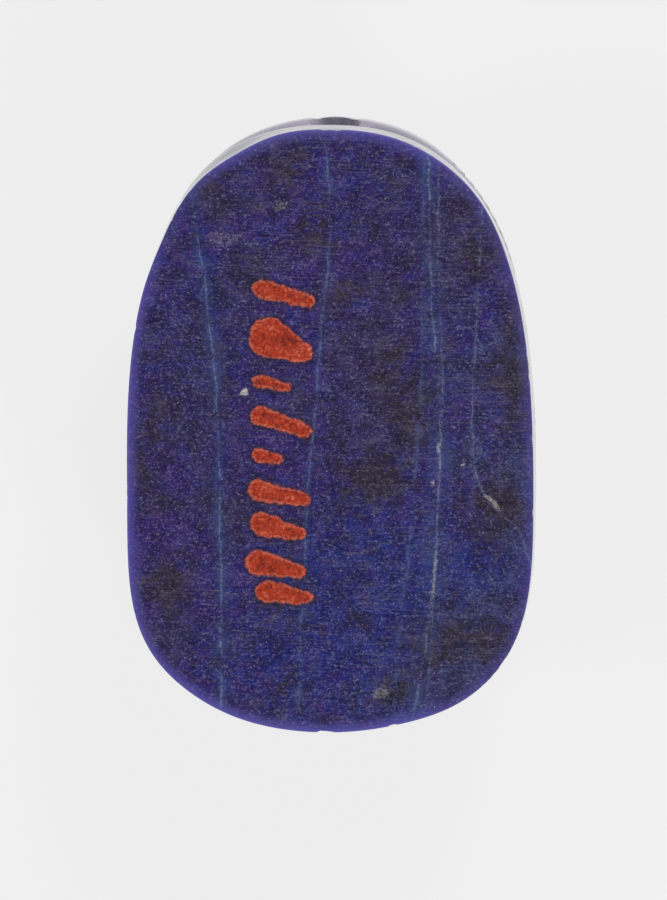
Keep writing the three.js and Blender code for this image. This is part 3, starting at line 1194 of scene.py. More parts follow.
def _finish(sheet: NodeSheet, geometry: Value, material: Value, out: Node) -> None:
    """Ends a tree with real geometry and its material.

    Args:
        sheet: The sheet to write on.
        geometry: The geometry to work on.
        material: The finish of the result.
        out: The tree's output node.
    """
    real = sheet.node("GeometryNodeRealizeInstances", {"Geometry": geometry})
    last = sheet.node("GeometryNodeSetMaterial", {"Geometry": real.outputs[0], "Material": material})
    sheet.feed(out, {"Geometry": last.outputs[0]})


def _cut_along(sheet: NodeSheet, given: Sockets, geometry: Value, target: Value) -> Value:
    """Sinks a geometry along the edges of a target, and notes the strokes in an attribute.

    Args:
        sheet: The sheet to write on.
        given: The tree's inputs.
        geometry: The geometry to work on.
        target: Geometry with the edges to follow.

    Returns:
        The carved geometry.
    """
    position = sheet.node("GeometryNodeInputPosition", {}).outputs[0]
    place = sheet.vector("SCALE", position, scale=1 / MM)
    reach = sheet.times(given["Unevenness"], MM)
    sway = sheet.sway(reach, place, 0.55, 3.0, 0.5, given["Seed"])
    near = sheet.node(
        "GeometryNodeProximity",
        {0: target, "Sample Position": sheet.vector("ADD", position, sway)},
        target_element="EDGES",
    )
    pressure = sheet.noise(place, 1.3, 2.0, seed=given["Seed"])
    pressure = sheet.spread(pressure, 0.3, 0.7, (0.72, 1.08))
    width = sheet.times(given["Half width"], sheet.times(pressure, MM))
    off = sheet.math("DIVIDE", near.outputs["Distance"], width)
    stroke = sheet.spread(off, 0.0, 1.0, (1.0, 0.0))
    depth = sheet.times(given["Depth"], sheet.times(pressure, -MM))
    normal = sheet.node("GeometryNodeInputNormal", {}).outputs[0]
    push = sheet.vector("SCALE", normal, scale=sheet.times(stroke, depth))
    sunk = sheet.node("GeometryNodeSetPosition", {"Geometry": geometry, "Offset": push})
    deeper = sheet.math("MAXIMUM", sheet.stored(GROOVE), stroke)
    noted = sheet.node(
        "GeometryNodeStoreNamedAttribute",
        {"Geometry": sunk.outputs[0], "Name": GROOVE, "Value": deeper},
        data_type="FLOAT",
        domain="POINT",
    )
    return noted.outputs[0]


STROKE_INPUTS: dict[str, tuple[str, Value]] = {
    "Geometry": (GEOMETRY, None),
    "Lines": (OBJECT, None),
    "Half width": (FLOAT, 0.15),
    "Depth": (FLOAT, 0.1),
    "Unevenness": (FLOAT, 0.1),
    "Seed": (INTEGER, 1),
    "Material": (MATERIAL, None),
}


def carved_line_tree() -> Tree:
    """A tree that sinks the stone along lines.

    Returns:
        The tree.
    """
    sheet, given, out = new_tree("Carved lines", "GeometryNodeTree", STROKE_INPUTS, {"Geometry": GEOMETRY})
    lines = sheet.node("GeometryNodeObjectInfo", {"Object": given["Lines"]})
    cut = _cut_along(sheet, given, given["Geometry"], lines.outputs["Geometry"])
    _finish(sheet, cut, given["Material"], out)
    return sheet.tree


def hatched_leg_tree() -> Tree:
    """A tree that lays short slanted strokes along lines and sinks the stone under them.

    Returns:
        The tree.
    """
    inputs = STROKE_INPUTS | {"Spacing": (FLOAT, 0.4), "Stroke length": (FLOAT, 0.5), "Slant": (FLOAT, 0.2)}
    sheet, given, out = new_tree("Hatched legs", "GeometryNodeTree", inputs, {"Geometry": GEOMETRY})
    lines = sheet.node("GeometryNodeObjectInfo", {"Object": given["Lines"]})
    curve = sheet.node("GeometryNodeMeshToCurve", {"Mesh": lines.outputs["Geometry"]})
    spaced = sheet.node(
        "GeometryNodeResampleCurve",
        {"Curve": curve.outputs[0], "Length": sheet.times(given["Spacing"], MM)},
        mode="LENGTH",
    )
    height = sheet.times(given["Stroke length"], MM)
    slant = sheet.times(given["Slant"], MM)
    run = sheet.node("ShaderNodeCombineXYZ", {"X": slant, "Z": height}).outputs[0]
    stroke = sheet.node(
        "GeometryNodeMeshLine",
        {"Count": 2, "Start Location": sheet.vector("SCALE", run, scale=-0.5), "Offset": run},
    )
    tangent = sheet.node("GeometryNodeInputTangent", {}).outputs[0]
    turn = sheet.node("FunctionNodeAlignRotationToVector", {"Vector": tangent}, axis="X", pivot_axis="Z")
    laid = sheet.node(
        "GeometryNodeInstanceOnPoints",
        {"Points": spaced.outputs[0], "Instance": stroke.outputs[0], "Rotation": turn.outputs[0]},
    )
    real = sheet.node("GeometryNodeRealizeInstances", {"Geometry": laid.outputs[0]})
    cut = _cut_along(sheet, given, given["Geometry"], real.outputs[0])
    _finish(sheet, cut, given["Material"], out)
    return sheet.tree


def worn_stone_tree() -> Tree:
    """A tree that roughens the carved sides, chips the base's edge and parts the finishes.

    Returns:
        The tree.
    """
    inputs = {
        "Geometry": (GEOMETRY, None),
        "Plate": (FLOAT, 1.5),
        "Height": (FLOAT, 8.0),
        "Hole radius": (FLOAT, 0.7),
        "Hole height": (FLOAT, 5.0),
        "Tool marks": (FLOAT, 0.02),
        "Chips": (FLOAT, 0.06),
        "Seed": (INTEGER, 1),
        "Rubbed": (MATERIAL, None),
        "Polished": (MATERIAL, None),
        "Carved": (MATERIAL, None),
        "Drilled": (MATERIAL, None),
    }
    sheet, given, out = new_tree("Worn stone", "GeometryNodeTree", inputs, {"Geometry": GEOMETRY})
    position = sheet.node("GeometryNodeInputPosition", {}).outputs[0]
    place = sheet.vector("SCALE", position, scale=1 / MM)
    part = sheet.split(place)
    rise = sheet.minus(given["Height"], part["Z"])
    past_plate = sheet.minus(rise, given["Plate"])
    carved = sheet.spread(past_plate, 0.05, 0.35)
    along_sides = sheet.vector("MULTIPLY", place, (0.8, 0.8, 3.2))
    marks = sheet.noise(along_sides, 1.6, 4.0, 0.6, given["Seed"])
    marks = sheet.times(marks, given["Tool marks"], carved)
    leg = sheet.stored("leg")
    marks = sheet.times(marks, sheet.spread(leg, 0.2, 1.0, (1.0, 0.25)))
    at_edge = sheet.spread(sheet.stored("edge_mm"), 0.0, 0.16, (1.0, 0.0))
    at_edge = sheet.times(at_edge, sheet.spread(rise, 0.12, 0.4, (1.0, 0.0)))
    chip = sheet.noise(place, 1.1, 4.0, 0.62, given["Seed"])
    chip = sheet.times(sheet.spread(chip, 0.56, 0.74), at_edge)
    chip = sheet.times(chip, given["Chips"])
    normal = sheet.node("GeometryNodeInputNormal", {}).outputs[0]
    inward = sheet.times(sheet.plus(marks, chip), -MM)
    push = sheet.vector("SCALE", normal, scale=inward)
    worn = sheet.node("GeometryNodeSetPosition", {"Geometry": given["Geometry"], "Offset": push})
    above_axis = sheet.minus(part["Z"], given["Hole height"])
    squares = sheet.plus(sheet.math("POWER", part["X"], 2.0), sheet.math("POWER", above_axis, 2.0))
    from_axis = sheet.math("SQRT", squares)
    bore = sheet.math("LESS_THAN", from_axis, sheet.plus(given["Hole radius"], 0.02))
    plate = sheet.math("LESS_THAN", past_plate, -0.12)
    base = sheet.math("LESS_THAN", rise, 0.06)
    real = sheet.node("GeometryNodeRealizeInstances", {"Geometry": worn.outputs[0]}).outputs[0]
    choices = ((True, "Carved"), (plate, "Polished"), (base, "Rubbed"), (bore, "Drilled"))
    for selection, material in choices:
        real = sheet.node(
            "GeometryNodeSetMaterial",
            {"Geometry": real, "Selection": selection, "Material": given[material]},
        ).outputs[0]
    sheet.feed(out, {"Geometry": real})
    return sheet.tree


def add_tree(piece: Object, tree: Tree, values: dict[str, object]) -> None:
    """Puts a tree on a piece, with its inputs set by their identifiers.

    Args:
        piece: The piece to carve.
        tree: The geometry node tree.
        values: The inputs by name.
    """
    modifier = piece.modifiers.new(tree.name, "NODES")
    modifier.node_group = tree
    for item in tree.interface.items_tree:
        if item.item_type == "SOCKET" and item.in_out == "INPUT" and item.name in values:
            modifier[item.identifier] = values[item.name]


def settle(piece: Object) -> None:
    """Turns a piece with its modifiers into a plain mesh.

    Args:
        piece: The piece.
    """
    depsgraph = bpy.context.evaluated_depsgraph_get()
    mesh = bpy.data.meshes.new_from_object(
        piece.evaluated_get(depsgraph), preserve_all_data_layers=True, depsgraph=depsgraph
    )
    piece.modifiers.clear()
    piece.data = mesh


def drop(helper: Object) -> None:
    """Removes a helper object and its mesh.

    Args:
        helper: The object to remove.
    """
    mesh = helper.data
    bpy.data.objects.remove(helper)
    bpy.data.meshes.remove(mesh)


@dataclass(frozen=True)
class ThreadHole:
    """The hole that runs through the length of the stone."""

    radius: float = 0.75
    rise: float = 2.35
    flare: float = 0.03
    sides: int = 72

    def cutter(self) -> Object:
        """A closed tool for the hole, a little wider towards its mouths.

        Returns:
            The tool, linked to the scene.
        """
        ends = LENGTH / 2 + 1
        stations = np.linspace(-ends, ends, 41)
        mouth = ease(np.abs(stations), LENGTH / 2 - 1.4, LENGTH / 2 + 0.2)
        radii = self.radius + self.flare * mouth
        turns = np.linspace(0, 2 * math.pi, self.sides, endpoint=False)
        points = []
        for y, radius in zip(stations, radii):
            for turn in turns:
                z = HEIGHT - self.rise + radius * math.sin(turn)
                points.append((radius * math.cos(turn) * MM, y * MM, z * MM))
        faces = []
        for ring in range(len(stations) - 1):
            for k in range(self.sides):
                near, far = ring * self.sides, (ring + 1) * self.sides
                after = (k + 1) % self.sides
                faces.append((near + k, far + k, far + after, near + after))
        last = (len(stations) - 1) * self.sides
        faces.append(tuple(range(self.sides)))
        faces.append(tuple(last + k for k in reversed(range(self.sides))))
        mesh = bpy.data.meshes.new("thread_hole")
        mesh.from_pydata(points, [], faces)
        return placed("thread_hole", mesh)


# ---- Finishes ------------------------------------------------------------------------------


@dataclass(frozen=True)
class Vein:
    """A pale vein that runs the length of the stone, as a sheet through its depth."""

    path: tuple[tuple[float, float], ...]
    half_width: float
    strength: float
    colour: Colour
    halo: float = 0.0


@dataclass(frozen=True)
class Patch:
    """A cloud in the stone: its middle, its reach across and along, and its strength."""

    x: float
    y: float
    across: float
    along: float
    strength: float


@dataclass(frozen=True)
class Knot:
    """A pale inclusion at the base: its middle, its half sizes, its turn and its strength."""

    x: float
    y: float
    across: float
    along: float
    turn: float
    strength: float


@dataclass(frozen=True)
class Lapis:
    """Colours of the stone and where its veins, clouds and pale knots lie.

    Each row of flecks holds cells a millimetre, seed, reach in cells, share kept and strength.
    """

    violet: Colour = shade(52, 33, 107)
    navy: Colour = shade(50, 42, 88)
    blue: Colour = shade(27, 37, 119)
    teal: Colour = shade(52, 72, 122)
    plum: Colour = shade(64, 39, 76)
    olive: Colour = shade(50, 43, 55)
    pale: Colour = shade(128, 124, 148)
    # Painted highlight along the base's rounded edge, where it catches light.
    rim: Colour = shade(98, 90, 178)
    white: Colour = shade(214, 214, 220)
    chalk: Colour = shade(204, 202, 192)
    dark: Colour = shade(24, 18, 38)
    # Pale dust, also used as painted light: the sheen on the legs and the lift of the hole's shaded mouth.
    pale_dust_and_light: Colour = shade(215, 208, 222)
    flecks: tuple[tuple[float, float, float, float, float], ...] = (
        (1.0, 2.0, 0.04, 0.1, 0.8),
        (2.6, 5.0, 0.06, 0.05, 0.6),
        (8.0, 9.0, 0.16, 0.06, 0.34),
    )
    veins: tuple[Vein, ...] = (
        Vein(
            ((-4.4, 9.5), (-4.3, 7.5), (-3.85, 4.4), (-3.54, 1.3), (-3.44, -1.5), (-3.4, -9.5)),
            0.024, 1.0, shade(108, 122, 156), 0.42,
        ),
        Vein(
            ((-0.2, 9.5), (0.0, 6.0), (-0.16, 4.4), (-0.41, 1.3), (-0.66, -1.5), (-1.0, -9.5)),
            0.022, 0.85, shade(104, 112, 146), 0.16,
        ),
        Vein(
            ((3.05, 9.5), (3.19, 4.1), (3.42, 1.0), (3.44, -0.4), (3.3, -4.0), (3.0, -6.6), (2.5, -9.5)),
            0.034, 0.85, shade(122, 132, 152), 0.6,
        ),
        Vein(
            ((3.45, 9.5), (3.38, 8.0), (3.4, 4.4), (3.52, 1.4), (3.42, -1.2), (3.0, -9.5)),
            0.028, 0.65, shade(112, 124, 144),
        ),
        Vein(
            (
                *((4.9, 9.5), (4.54, 3.1), (4.44, 0.3), (4.5, -0.9)),
                *((4.75, -1.7), (5.3, -2.5), (5.95, -3.1), (6.3, -9.5)),
            ),
            0.022, 0.7, shade(126, 124, 138), 0.1,
        ),
        Vein(
            ((2.9, 9.5), (2.8, 1.0), (2.5, -3.4), (2.28, -5.3), (2.13, -6.6), (2.0, -9.5)),
            0.02, 0.4, shade(96, 106, 132), 0.12,
        ),
    )
    clouds: tuple[Patch, ...] = (
        Patch(5.7, 1.9, 0.6, 1.6, 1.2),
        Patch(1.4, -1.4, 0.9, 0.7, 1.1),
        Patch(2.4, 0.4, 0.6, 0.8, 1.0),
        Patch(1.7, 2.0, 0.5, 0.8, 0.7),
        Patch(5.4, -2.2, 0.8, 0.8, 1.1),
        Patch(4.0, -6.4, 1.3, 0.9, 1.0),
        Patch(1.8, -8.2, 0.9, 0.4, 0.8),
        Patch(-5.1, -4.6, 0.9, 1.5, 0.7),
        Patch(-5.7, -0.6, 0.6, 0.8, 0.6),
        Patch(-1.3, 8.2, 0.5, 1.1, 0.8),
        Patch(-0.6, 6.2, 0.5, 0.8, 0.9),
        Patch(-4.1, 7.9, 0.8, 0.6, 0.7),
        Patch(4.8, 5.9, 0.8, 0.9, 0.85),
        Patch(0.3, 4.3, 0.4, 0.5, 0.6),
        Patch(-1.7, -8.3, 0.9, 0.5, 0.5),
    )
    deep_blues: tuple[Patch, ...] = (
        Patch(1.0, -5.6, 2.2, 3.0, 1.3),
        Patch(4.7, -4.2, 1.0, 0.8, 0.9),
        Patch(-2.6, -7.2, 1.6, 1.5, 0.5),
        Patch(-4.0, 3.6, 1.0, 2.2, 0.5),
        Patch(0.4, 7.8, 2.0, 1.2, 0.3),
        Patch(4.2, 3.4, 1.1, 1.4, 0.4),
    )
    # Where the painted highlight along the base's edge is weaker.
    dim_rim_highlight: tuple[Patch, ...] = (Patch(-5.0, 6.9, 1.3, 1.9, 0.75),)
    knots: tuple[Knot, ...] = (
        Knot(-2.67, 1.25, 0.12, 0.13, 0.3, 0.8),
        Knot(3.42, -0.42, 0.07, 0.2, 0.05, 0.5),
        Knot(3.22, -1.55, 0.05, 0.08, -0.3, 0.5),
        Knot(3.26, -4.5, 0.06, 0.9, -0.1, 0.24),
        Knot(5.1, -2.15, 0.06, 0.34, 0.75, 0.45),
        Knot(4.13, -0.95, 0.06, 0.05, 0.0, 0.45),
        Knot(-3.3, 6.05, 0.6, 0.24, 0.1, 0.13),
        Knot(-1.5, 7.1, 0.3, 0.14, 0.2, 0.17),
        Knot(1.6, -8.15, 0.3, 0.18, 0.3, 0.2),
    )


# Reach of the ragged edges of knots and paint, and height of the grain's relief, in millimetres.
RAGGED, RELIEF = 0.42, 0.012
# Dark of old dirt and of painted shade in grooves and the sunk recess, and a paler dirt.
DARK_DIRT_AND_SHADE, LIGHT_DIRT = shade(30, 27, 36), shade(112, 104, 96)


@dataclass(frozen=True)
class PaintDab:
    """A tapering brush dab: the ends of its middle line and its half width at each."""

    start: tuple[float, float]
    end: tuple[float, float]
    start_half: float
    end_half: float


@dataclass(frozen=True)
class Paint:
    """The red-orange marks on the base: a column of plain brush dabs."""

    colour: Colour = shade(168, 52, 26)
    dark: Colour = shade(78, 26, 26)
    # Pale specks in the paint, and the painted highlight along its thick lip.
    light: Colour = shade(222, 124, 98)
    halo: Colour = shade(36, 30, 42)
    dabs: tuple[PaintDab, ...] = (
        PaintDab((-2.1, 4.5), (-0.65, 4.1), 0.29, 0.2),
        PaintDab((-1.85, 2.95), (-0.85, 2.5), 0.64, 0.3),
        PaintDab((-2.2, 1.6), (-1.35, 1.4), 0.2, 0.13),
        PaintDab((-2.15, 0.5), (-0.75, 0.05), 0.3, 0.2),
        PaintDab((-2.2, -0.72), (-1.6, -0.86), 0.22, 0.15),
        PaintDab((-2.2, -1.82), (-0.8, -2.12), 0.34, 0.22),
        PaintDab((-2.1, -2.9), (-0.95, -3.2), 0.38, 0.2),
        PaintDab((-2.25, -4.1), (-1.0, -4.35), 0.38, 0.22),
        PaintDab((-1.95, -5.0), (-0.75, -5.2), 0.36, 0.2),
    )


@dataclass(frozen=True)
class StoneFinish:
    """How one kind of surface of the stone is left by the tool and by wear."""

    name: str
    roughness: tuple[float, float]
    scratches: float
    grain: float
    # How strongly grooves and the sunk recess darken with dirt and painted shade.
    grime: float
    # Share of pale dust; on the drilled hole it is partly painted light that lifts the shaded mouth.
    dust_and_light: float
    coat: float
    gloss: float
    # Whether the surface carries the paint dabs and the painted highlight along the base's edge.
    painted: bool = False


RUBBED = StoneFinish("lapis_rubbed", (0.4, 0.58), 0.7, 1.0, 0.0, 0.0, 0.0, 0.18, painted=True)
POLISHED = StoneFinish("lapis_polished", (0.2, 0.34), 0.3, 0.8, 0.0, 0.0, 1.0, 1.0)
CARVED = StoneFinish("lapis_carved", (0.32, 0.5), 0.5, 1.0, 0.8, 0.02, 1.0, 0.6)
# The drilled finish's pale share is partly painted light that lifts the hole's shaded mouth.
DRILLED = StoneFinish("lapis_drilled", (0.5, 0.7), 0.2, 1.0, 0.2, 0.3, 0.3, 0.4)


def _millimetres(sheet: NodeSheet) -> Socket:
    """The place on the piece, in millimetres."""
    place = sheet.node("ShaderNodeTexCoord", {}).outputs["Object"]
    return sheet.vector("SCALE", place, scale=1 / MM)


def _vein_masks(sheet: NodeSheet, vein: Vein, x: Value, t: Value, patchy: Value) -> tuple[Value, Value]:
    """Masks of a vein's line and of the tint beside it.

    Args:
        sheet: The sheet to write on.
        vein: The vein.
        x: Place across the stone.
        t: Place along the stone, 0 at the tail and 1 at the head.
        patchy: Noise that breaks the line up.

    Returns:
        The line's mask and the tint's mask.
    """
    curve = sheet.node("ShaderNodeFloatCurve", {"Value": t})
    points = curve.mapping.curves[0].points
    ordered = sorted((y / LENGTH + 0.5, across / WIDTH + 0.5) for across, y in vein.path)
    points[0].location, points[1].location = ordered[0], ordered[-1]
    for location in ordered[1:-1]:
        points.new(*location)
    curve.mapping.update()
    middle = sheet.times(sheet.minus(curve.outputs[0], 0.5), WIDTH)
    off = sheet.math("ABSOLUTE", sheet.minus(x, middle))
    line = sheet.spread(off, vein.half_width * 0.3, vein.half_width * 1.6, (1.0, 0.0))
    line = sheet.math("MAXIMUM", line, sheet.spread(off, 0.0, 0.13, (0.22, 0.0)))
    line = sheet.times(line, sheet.times(patchy, vein.strength))
    if not vein.halo:
        return line, 0.0
    tint = sheet.spread(off, 0.0, vein.halo, (1.0, 0.0))
    return line, sheet.times(tint, sheet.times(patchy, 0.9))


def _patches(sheet: NodeSheet, patches: tuple[Patch, ...], x: Value, y: Value) -> Value:
    """Adds up soft patches of the stone at a place.

    Args:
        sheet: The sheet to write on.
        patches: The patches.
        x: Place across the stone.
        y: Place along the stone.

    Returns:
        The sum of their strengths.
    """
    total: Value = 0.0
    for patch in patches:
        across = sheet.times(sheet.minus(x, patch.x), 1 / patch.across)
        along = sheet.times(sheet.minus(y, patch.y), 1 / patch.along)
        off = sheet.math("MULTIPLY_ADD", across, across, sheet.times(along, along))
        fall = sheet.math("EXPONENT", sheet.times(off, -0.8))
        total = sheet.math("MULTIPLY_ADD", fall, patch.strength, total)
    return total


def _ground_colour(sheet: NodeSheet, stone: Lapis, place: Value) -> tuple[Value, Value]:
    """The stone's clouded ground.

    Args:
        sheet: The sheet to write on.
        stone: The stone's colours and clouds.
        place: The place in millimetres.

    Returns:
        The colour, and a mask of the dark clouds.
    """
    part = sheet.split(place)
    broad = sheet.noise(place, 0.42, 3.0, 0.6, 3.0, 0.6)
    mottle = sheet.noise(place, 0.75, 6.0, 0.68, 11.0, 0.35)
    small = sheet.noise(place, 2.1, 4.0, 0.68, 19.0)
    warp = sheet.times(sheet.minus(small, 0.5), 2.4)
    x = sheet.plus(part["X"], warp)
    y = sheet.plus(part["Y"], warp)
    colour = sheet.mix(sheet.spread(broad, 0.38, 0.6), stone.violet, stone.navy)
    bluer = sheet.math("MULTIPLY_ADD", _patches(sheet, stone.deep_blues, x, y), 0.2, small)
    colour = sheet.mix(sheet.spread(bluer, 0.48, 0.7, (0.0, 0.95)), colour, stone.blue)
    lower_right = sheet.plus(sheet.times(part["X"], 0.075), sheet.times(part["Y"], -0.03))
    greener = sheet.spread(lower_right, -0.35, 0.75, (-0.12, 0.15))
    greener = sheet.plus(greener, sheet.minus(1.0, mottle))
    colour = sheet.mix(sheet.spread(greener, 0.52, 0.76, (0.0, 0.5)), colour, stone.teal)
    plum = sheet.plus(sheet.times(broad, 0.4), sheet.times(small, 0.6))
    colour = sheet.mix(sheet.spread(plum, 0.52, 0.64, (0.0, 0.5)), colour, stone.plum)
    cloud = sheet.math("MULTIPLY_ADD", _patches(sheet, stone.clouds, x, y), 0.3, mottle)
    cloud = sheet.spread(cloud, 0.5, 0.82)
    colour = sheet.mix(sheet.times(cloud, 0.95), colour, stone.olive)
    smoky = sheet.noise(place, 1.6, 3.0, 0.6, 53.0)
    colour = sheet.mix(sheet.spread(smoky, 0.56, 0.34, (0.0, 0.52)), colour, stone.dark)
    colour = sheet.mix(sheet.spread(smoky, 0.5, 0.7, (0.0, 0.1)), colour, stone.pale)
    return colour, cloud


def _knotted(sheet: NodeSheet, stone: Lapis, place: Value, grain: Value, colour: Value) -> Value:
    """Sets the pale knots in the stone, broken up by its grain.

    Args:
        sheet: The sheet to write on.
        stone: The stone's colours and where they lie.
        place: The place in millimetres.
        grain: The stone's grain.
        colour: The colour so far.

    Returns:
        The colour with the knots.
    """
    moved = sheet.vector("ADD", place, sheet.sway(RAGGED, place, 4.0, 4.0, 0.75, 47.0))
    height = sheet.split(place)["Z"]
    near_base = sheet.spread(height, HEIGHT - 1.0, HEIGHT - 0.3)
    for knot in stone.knots:
        off = sheet.vector("SUBTRACT", moved, (knot.x, knot.y, HEIGHT))
        sizes = (1 / knot.across, 1 / knot.along, 0.0)
        off = sheet.vector("MULTIPLY", sheet.turned(off, -knot.turn), sizes)
        far = sheet.vector("LENGTH", off)
        mask = sheet.times(sheet.spread(far, 0.5, 1.25, (knot.strength, 0.0)), near_base)
        broken = sheet.spread(grain, 0.38, 0.6, (0.7 * knot.strength, 1.0))
        mask = sheet.times(mask, broken)
        colour = sheet.mix(mask, colour, stone.chalk)
    return colour


def _veined(sheet: NodeSheet, stone: Lapis, place: Value, grain: Value, colour: Value) -> Value:
    """Lays the veins over the ground.

    Args:
        sheet: The sheet to write on.
        stone: The stone's colours and veins.
        place: The place in millimetres.
        grain: The stone's grain, which breaks the veins up.
        colour: The ground's colour.

    Returns:
        The colour.
    """
    part = sheet.split(place)
    t = sheet.spread_linear(part["Y"], -LENGTH / 2, LENGTH / 2)
    x = sheet.plus(part["X"], sheet.times(part["Z"], 0.06))
    x = sheet.minus(x, HEIGHT * 0.06)
    wander = sheet.noise(place, 1.1, 4.0, 0.65, 5.0)
    x = sheet.math("MULTIPLY_ADD", sheet.minus(wander, 0.5), 0.26, x)
    patches = [
        sheet.spread(sheet.noise(place, 0.9, 4.0, 0.75, seed), 0.4, 0.62, (0.06, 1.0))
        for seed in (60.0, 61.0)
    ]
    broken = sheet.spread(grain, 0.32, 0.62, (0.25, 1.0))
    for number, vein in enumerate(stone.veins):
        line, tint = _vein_masks(sheet, vein, x, t, patches[number % 2])
        if vein.halo:
            colour = sheet.mix(sheet.times(tint, 0.6), colour, stone.teal)
        colour = sheet.mix(sheet.clamp(sheet.times(line, broken)), colour, vein.colour)
    return colour


def lapis_group(stone: Lapis) -> Tree:
    """Builds the group for the stone's own colour.

    Args:
        stone: Its colours, veins and clouds.

    Returns:
        A group that takes the place in millimetres and gives the colour and the grain.
    """
    inputs = {"Place": (VECTOR, None), "Grain": (FLOAT, 1.0)}
    sheet, given, out = new_tree("Lapis colour", "ShaderNodeTree", inputs, {"Color": COLOUR, "Grain": FLOAT})
    place = given["Place"]
    lying = sheet.vector("MULTIPLY", place, (0.65, 1.25, 1.0))
    fine = sheet.noise(lying, 9.5, 4.0, 0.9, 71.0)
    crystal = sheet.cells(place, 23.0, 8.0).outputs["Color"]
    crystal = sheet.node("ShaderNodeSeparateColor", {0: crystal}).outputs[0]
    grain = sheet.math("MULTIPLY_ADD", sheet.minus(crystal, 0.5), 0.3, fine)
    colour, cloud = _ground_colour(sheet, stone, place)
    amount = given["Grain"]
    dark = sheet.times(sheet.spread(grain, 0.27, 0.51, (0.9, 0.0)), amount)
    colour = sheet.mix(dark, colour, stone.dark)
    light = sheet.spread(grain, 0.54, 0.8, (0.0, 0.68))
    light = sheet.times(light, sheet.times(amount, sheet.spread(cloud, 0.0, 0.8, (1.0, 0.7))))
    colour = sheet.mix(light, colour, stone.pale)
    colour = _veined(sheet, stone, place, grain, colour)
    colour = _knotted(sheet, stone, place, grain, colour)
    for scale, seed, reach, share, strength in stone.flecks:
        cells = sheet.cells(place, scale, seed)
        chosen = sheet.node("ShaderNodeSeparateColor", {0: cells.outputs["Color"]})
        kept = sheet.math("GREATER_THAN", chosen.outputs[0], 1.0 - share)
        fleck = sheet.spread(cells.outputs["Distance"], reach * 0.6, reach * 1.25, (strength, 0.0))
        fleck = sheet.times(fleck, kept)
        fleck = sheet.times(fleck, sheet.spread(chosen.outputs[1], 0.0, 1.0, (0.35, 1.0)))
        colour = sheet.mix(fleck, colour, stone.white)
    sheet.feed(out, {"Color": colour, "Grain": grain})
    return sheet.tree


# Each run of rubbing marks: its stretch, its turn, and the noise at which a line starts and is full.
RUBBING = (
    ((0.8, 13.0, 6.0), 0.02, 0.52, 0.7),
    ((0.3, 8.0, 5.0), -0.5, 0.64, 0.76),
    ((7.0, 0.35, 5.0), 0.25, 0.66, 0.78),
)


def scratch_group() -> Tree:
    """Builds the group for rubbing marks: fine parallel lines across the stone and stray ones.

    Returns:
        A group that takes a place and an amount, and gives a height and a pale mask.
    """
    inputs = {"Place": (VECTOR, None), "Amount": (FLOAT, 1.0)}
    sheet, given, out = new_tree("Rubbing marks", "ShaderNodeTree", inputs, {"Height": FLOAT, "Pale": FLOAT})
    place = given["Place"]
    height: Value = 0.0
    for number, (stretch, angle, low, high) in enumerate(RUBBING):
        stretched = sheet.vector("MULTIPLY", sheet.turned(place, angle), stretch)
        lines = sheet.noise(stretched, 1.4, 2.0, 0.6, 7.0 + number)
        height = sheet.math("MAXIMUM", height, sheet.spread(lines, low, high))
    rubbed = sheet.noise(place, 0.3, 2.0, 0.5, 29.0)
    height = sheet.times(height, sheet.spread(rubbed, 0.35, 0.65, (0.25, 1.0)))
    height = sheet.times(height, given["Amount"])
    sheet.feed(out, {"Height": sheet.times(height, -1.0), "Pale": height})
    return sheet.tree


def grime_and_shade_group() -> Tree:
    """Builds the group that darkens the carved strokes and the sunk sides with old dirt and painted shade.

    Returns:
        A group that takes a place, a colour and an amount, and gives a colour and a mask.
    """
    inputs = {"Place": (VECTOR, None), "Color": (COLOUR, (1, 1, 1, 1)), "Amount": (FLOAT, 1.0)}
    sheet, given, out = new_tree("Grime", "ShaderNodeTree", inputs, {"Color": COLOUR, "Mask": FLOAT})
    sunk = sheet.mask("sunk")
    clumps = sheet.noise(given["Place"], 1.7, 5.0, 0.65, 13.0)
    # Dirt and painted shade in the grooves and the sunk recess round the legs.
    low = sheet.math("MAXIMUM", sheet.mask(GROOVE), sheet.spread(sunk, 0.5, 1.0, (0.0, 0.8)))
    dirt_and_shade = sheet.times(low, sheet.spread(clumps, 0.32, 0.6, (0.35, 1.0)))
    dirt_and_shade = sheet.times(dirt_and_shade, given["Amount"])
    light = sheet.times(dirt_and_shade, sheet.spread(clumps, 0.5, 0.66, (0.0, 0.5)))
    colour = sheet.mix(dirt_and_shade, given["Color"], DARK_DIRT_AND_SHADE)
    colour = sheet.mix(light, colour, LIGHT_DIRT)
    sheet.feed(out, {"Color": colour, "Mask": dirt_and_shade})
    return sheet.tree


def _dab_distance(sheet: NodeSheet, dab: PaintDab, flat: Value) -> Value:
    """Distance from the edge of a brush dab, negative inside it.

    Args:
        sheet: The sheet to write on.
        dab: The brush dab.
        flat: The place on the base, with no height.

    Returns:
        The distance in millimetres.
    """
    (ax, ay), (bx, by) = dab.start, dab.end
    run = (bx - ax, by - ay, 0.0)
    squared = run[0] ** 2 + run[1] ** 2
    from_start = sheet.vector("SUBTRACT", flat, (ax, ay, 0.0))
    along = sheet.vector("DOT_PRODUCT", from_start, run)
    share = sheet.clamp(sheet.math("DIVIDE", along, squared))
    nearest = sheet.vector("SCALE", run, scale=share)
    off = sheet.vector("SUBTRACT", from_start, nearest)
    length = sheet.vector("LENGTH", off)
    half = sheet.math("MULTIPLY_ADD", share, dab.end_half - dab.start_half, dab.start_half)
    return sheet.minus(length, half)


